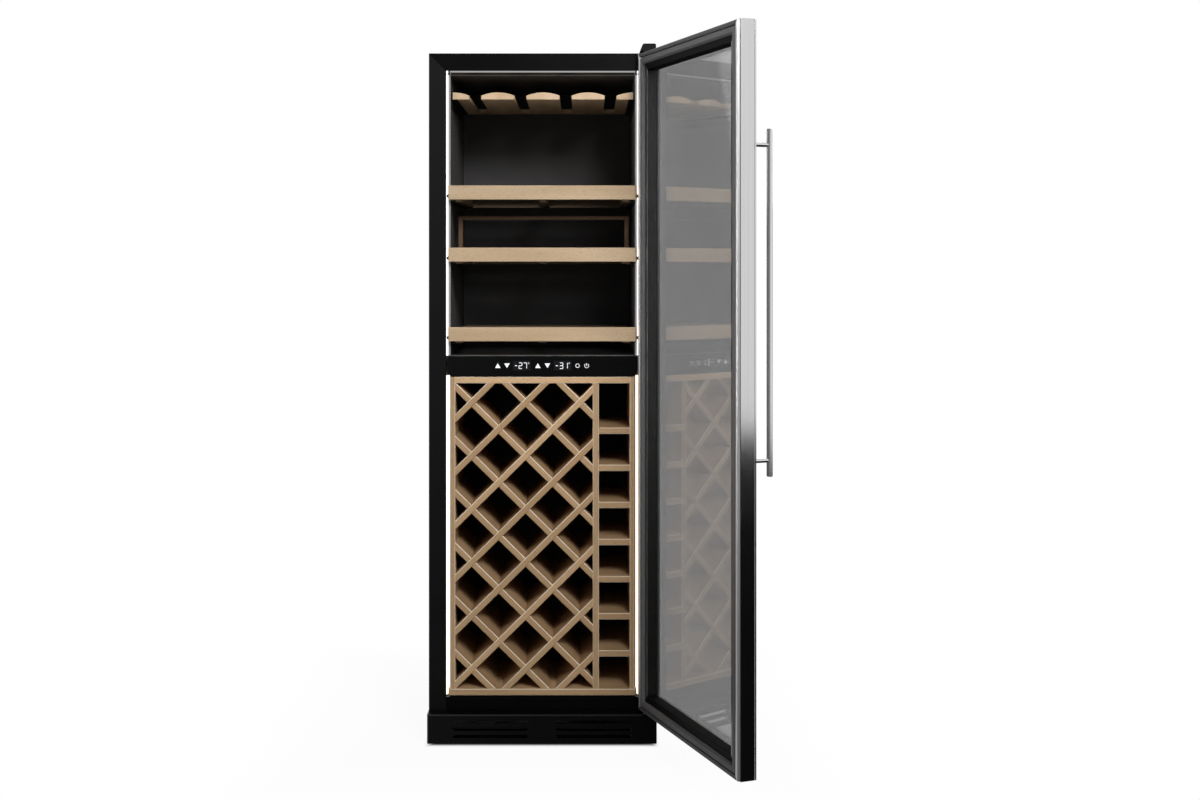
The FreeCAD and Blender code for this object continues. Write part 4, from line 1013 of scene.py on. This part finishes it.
class WINECOOLER_OT_stage(bpy.types.Operator):
    """Set up the floor, lamps, room and camera"""

    bl_idname = "wine_cooler.stage"
    bl_label = "Studio"

    def add_lamp(self, context, name, place, aim, size, power, spread):
        lamp = bpy.data.lights.new(name, "AREA")
        lamp.shape = "RECTANGLE"
        lamp.size, lamp.size_y = size
        lamp.energy = power
        lamp.spread = math.radians(spread)
        holder = bpy.data.objects.new(name, lamp)
        holder.location = place
        holder.rotation_euler = (Vector(aim) - Vector(place)).to_track_quat("-Z", "Y").to_euler()
        holder.visible_camera = False
        context.scene.collection.objects.link(holder)

    def lay_floor(self, context, stage):
        """Pale paper, white to the camera away from the cabinet, with painted shade in the gap under it."""
        reach = 15.0
        corners = [(x * reach, y * reach, 0.0) for x, y in ((-1, -1), (1, -1), (1, 1), (-1, 1))]
        mesh = bpy.data.meshes.new("floor")
        mesh.from_pydata(corners, [], [(0, 1, 2, 3)])
        floor = bpy.data.objects.new("floor", mesh)
        context.scene.collection.objects.link(floor)
        f = Finish("floor_paper")
        x, y, _ = f.axes()
        low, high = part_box("plinth")
        middle, half = (low.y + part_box("back_panel")[1].y) / 2, (high.x - low.x) / 2
        beside = (abs(x) - half).larger(abs(y - middle) - (middle - low.y))
        white_share = 0.95 * beside.between(-0.02, 0.01) + 0.05 * beside.between(0.05, 0.6)
        # Painted shade: within the cabinet's footprint the paper is nearly black, as if in shade.
        paper = f.mix(beside.between(-0.05, -0.01), grey(0.01), shade(stage.floor_colour))
        matt = f.node("ShaderNodeBsdfDiffuse", {}, {"Color": paper})
        white = f.node("ShaderNodeEmission", {}, {"Color": grey(1.0), "Strength": 1.0})
        seen = f.node("ShaderNodeLightPath", out="Is Camera Ray")
        lit = f.node("ShaderNodeMixShader", {}, {0: seen * white_share, 1: matt, 2: white})
        f.node("ShaderNodeOutputMaterial", {}, {"Surface": lit})
        mesh.materials.append(f.material)
        floor.visible_glossy = False

    def light_room(self, context, stage):
        """A white room for the camera, an even dim one for light, and two walls that polished faces show."""
        world = bpy.data.worlds.new("studio")
        world.use_nodes = True
        context.scene.world = world
        n = Nodes(world.node_tree)
        path = n.node("ShaderNodeLightPath", out="Is Camera Ray")
        seen = path.larger(path.also("Is Transmission Ray"))
        mirrored = path.also("Is Glossy Ray")
        direction = n.node("ShaderNodeTexCoord", out="Generated")
        split = n.node("ShaderNodeSeparateXYZ", {}, {0: direction})
        across, ahead, up = (split.also(axis) for axis in "XYZ")
        right = across.between(0.13, 0.4) * (1.0 - 0.5 * ahead.between(0.05, 0.3))
        left = (0.0 - across).between(0.02, 0.12) * (0.3 + 0.7 * ahead.between(-0.9, -0.4))
        horizon = up.between(-0.13, -0.111)
        wall = 0.004 + (0.12 + (stage.mirrored_room + 0.08) * right) * horizon + 0.55 * left
        rest = mirrored * wall + (1.0 - mirrored) * stage.room_light
        strength = seen + (1.0 - seen) * rest
        light = n.node("ShaderNodeBackground", {}, {"Color": grey(1.0), "Strength": strength})
        n.node("ShaderNodeOutputWorld", {}, {"Surface": light})

    def execute(self, context):
        stage = context.scene.cooler_stage
        context.scene.view_settings.view_transform = "Standard"
        self.lay_floor(context, stage)
        self.light_room(context, stage)
        for lamp in (
            ("key_lamp", (1.25, -3.5, 3.2), (-0.05, -0.2, 1.25), (1.4, 1.2), stage.key_power, 62.0),
            ("fill_lamp", (-2.3, -1.9, 1.5), (0.45, -0.6, 1.5), (0.9, 1.6), stage.fill_power, 24.0),
            ("back_lamp", (1.6, 3.4, 2.4), (0.0, 0.2, 0.8), (1.8, 1.8), stage.back_power, 180.0),
        ):
            self.add_lamp(context, *lamp)
        camera = bpy.data.cameras.new("camera")
        camera.lens = stage.camera_lens
        camera.sensor_width = 36.0
        camera.shift_x, camera.shift_y = stage.camera_shift
        camera.clip_start, camera.clip_end = 0.05, 100.0
        viewer = bpy.data.objects.new("camera", camera)
        viewer.location = stage.camera_place
        viewer.rotation_euler = (math.pi / 2, 0.0, 0.0)
        context.scene.collection.objects.link(viewer)
        context.scene.camera = viewer
        return {"FINISHED"}


GROUPS = {"cooler_finishes": CoolerFinishes, "cooler_fittings": CoolerFittings, "cooler_stage": CoolerStage}
OPERATORS = (
    WINECOOLER_OT_cabinet, WINECOOLER_OT_woodwork, WINECOOLER_OT_machinery, WINECOOLER_OT_door,
    WINECOOLER_OT_seal, WINECOOLER_OT_edge_strips, WINECOOLER_OT_panel_signs, WINECOOLER_OT_buffers,
    WINECOOLER_OT_screws, WINECOOLER_OT_stage,
)


class WINECOOLER_PT_dressing(bpy.types.Panel):
    """Lists the steps of the dressing"""

    bl_idname = "WINECOOLER_PT_dressing"
    bl_label = "Wine Cooler"
    bl_space_type = "VIEW_3D"
    bl_region_type = "UI"
    bl_category = "Wine Cooler"

    def draw(self, context):
        for group_name, kind in GROUPS.items():
            box = self.layout.box()
            for name in kind.__annotations__:
                box.prop(getattr(context.scene, group_name), name)
        for operator in OPERATORS:
            self.layout.operator(operator.bl_idname)


CLASSES = tuple(GROUPS.values()) + OPERATORS + (WINECOOLER_PT_dressing,)


def register():
    for item in CLASSES:
        bpy.utils.register_class(item)
    for name, kind in GROUPS.items():
        setattr(bpy.types.Scene, name, PointerProperty(type=kind))


def unregister():
    for name in GROUPS:
        delattr(bpy.types.Scene, name)
    for item in reversed(CLASSES):
        bpy.utils.unregister_class(item)


def main():
    register()
    bpy.ops.wine_cooler.stage()
    bpy.ops.wine_cooler.cabinet()
    bpy.ops.wine_cooler.woodwork()
    bpy.ops.wine_cooler.machinery()
    bpy.ops.wine_cooler.door()
    bpy.ops.wine_cooler.seal()
    bpy.ops.wine_cooler.edge_strips()
    bpy.ops.wine_cooler.panel_signs()
    bpy.ops.wine_cooler.buffers()
    bpy.ops.wine_cooler.screws()


if __name__ == "__main__":
    main()
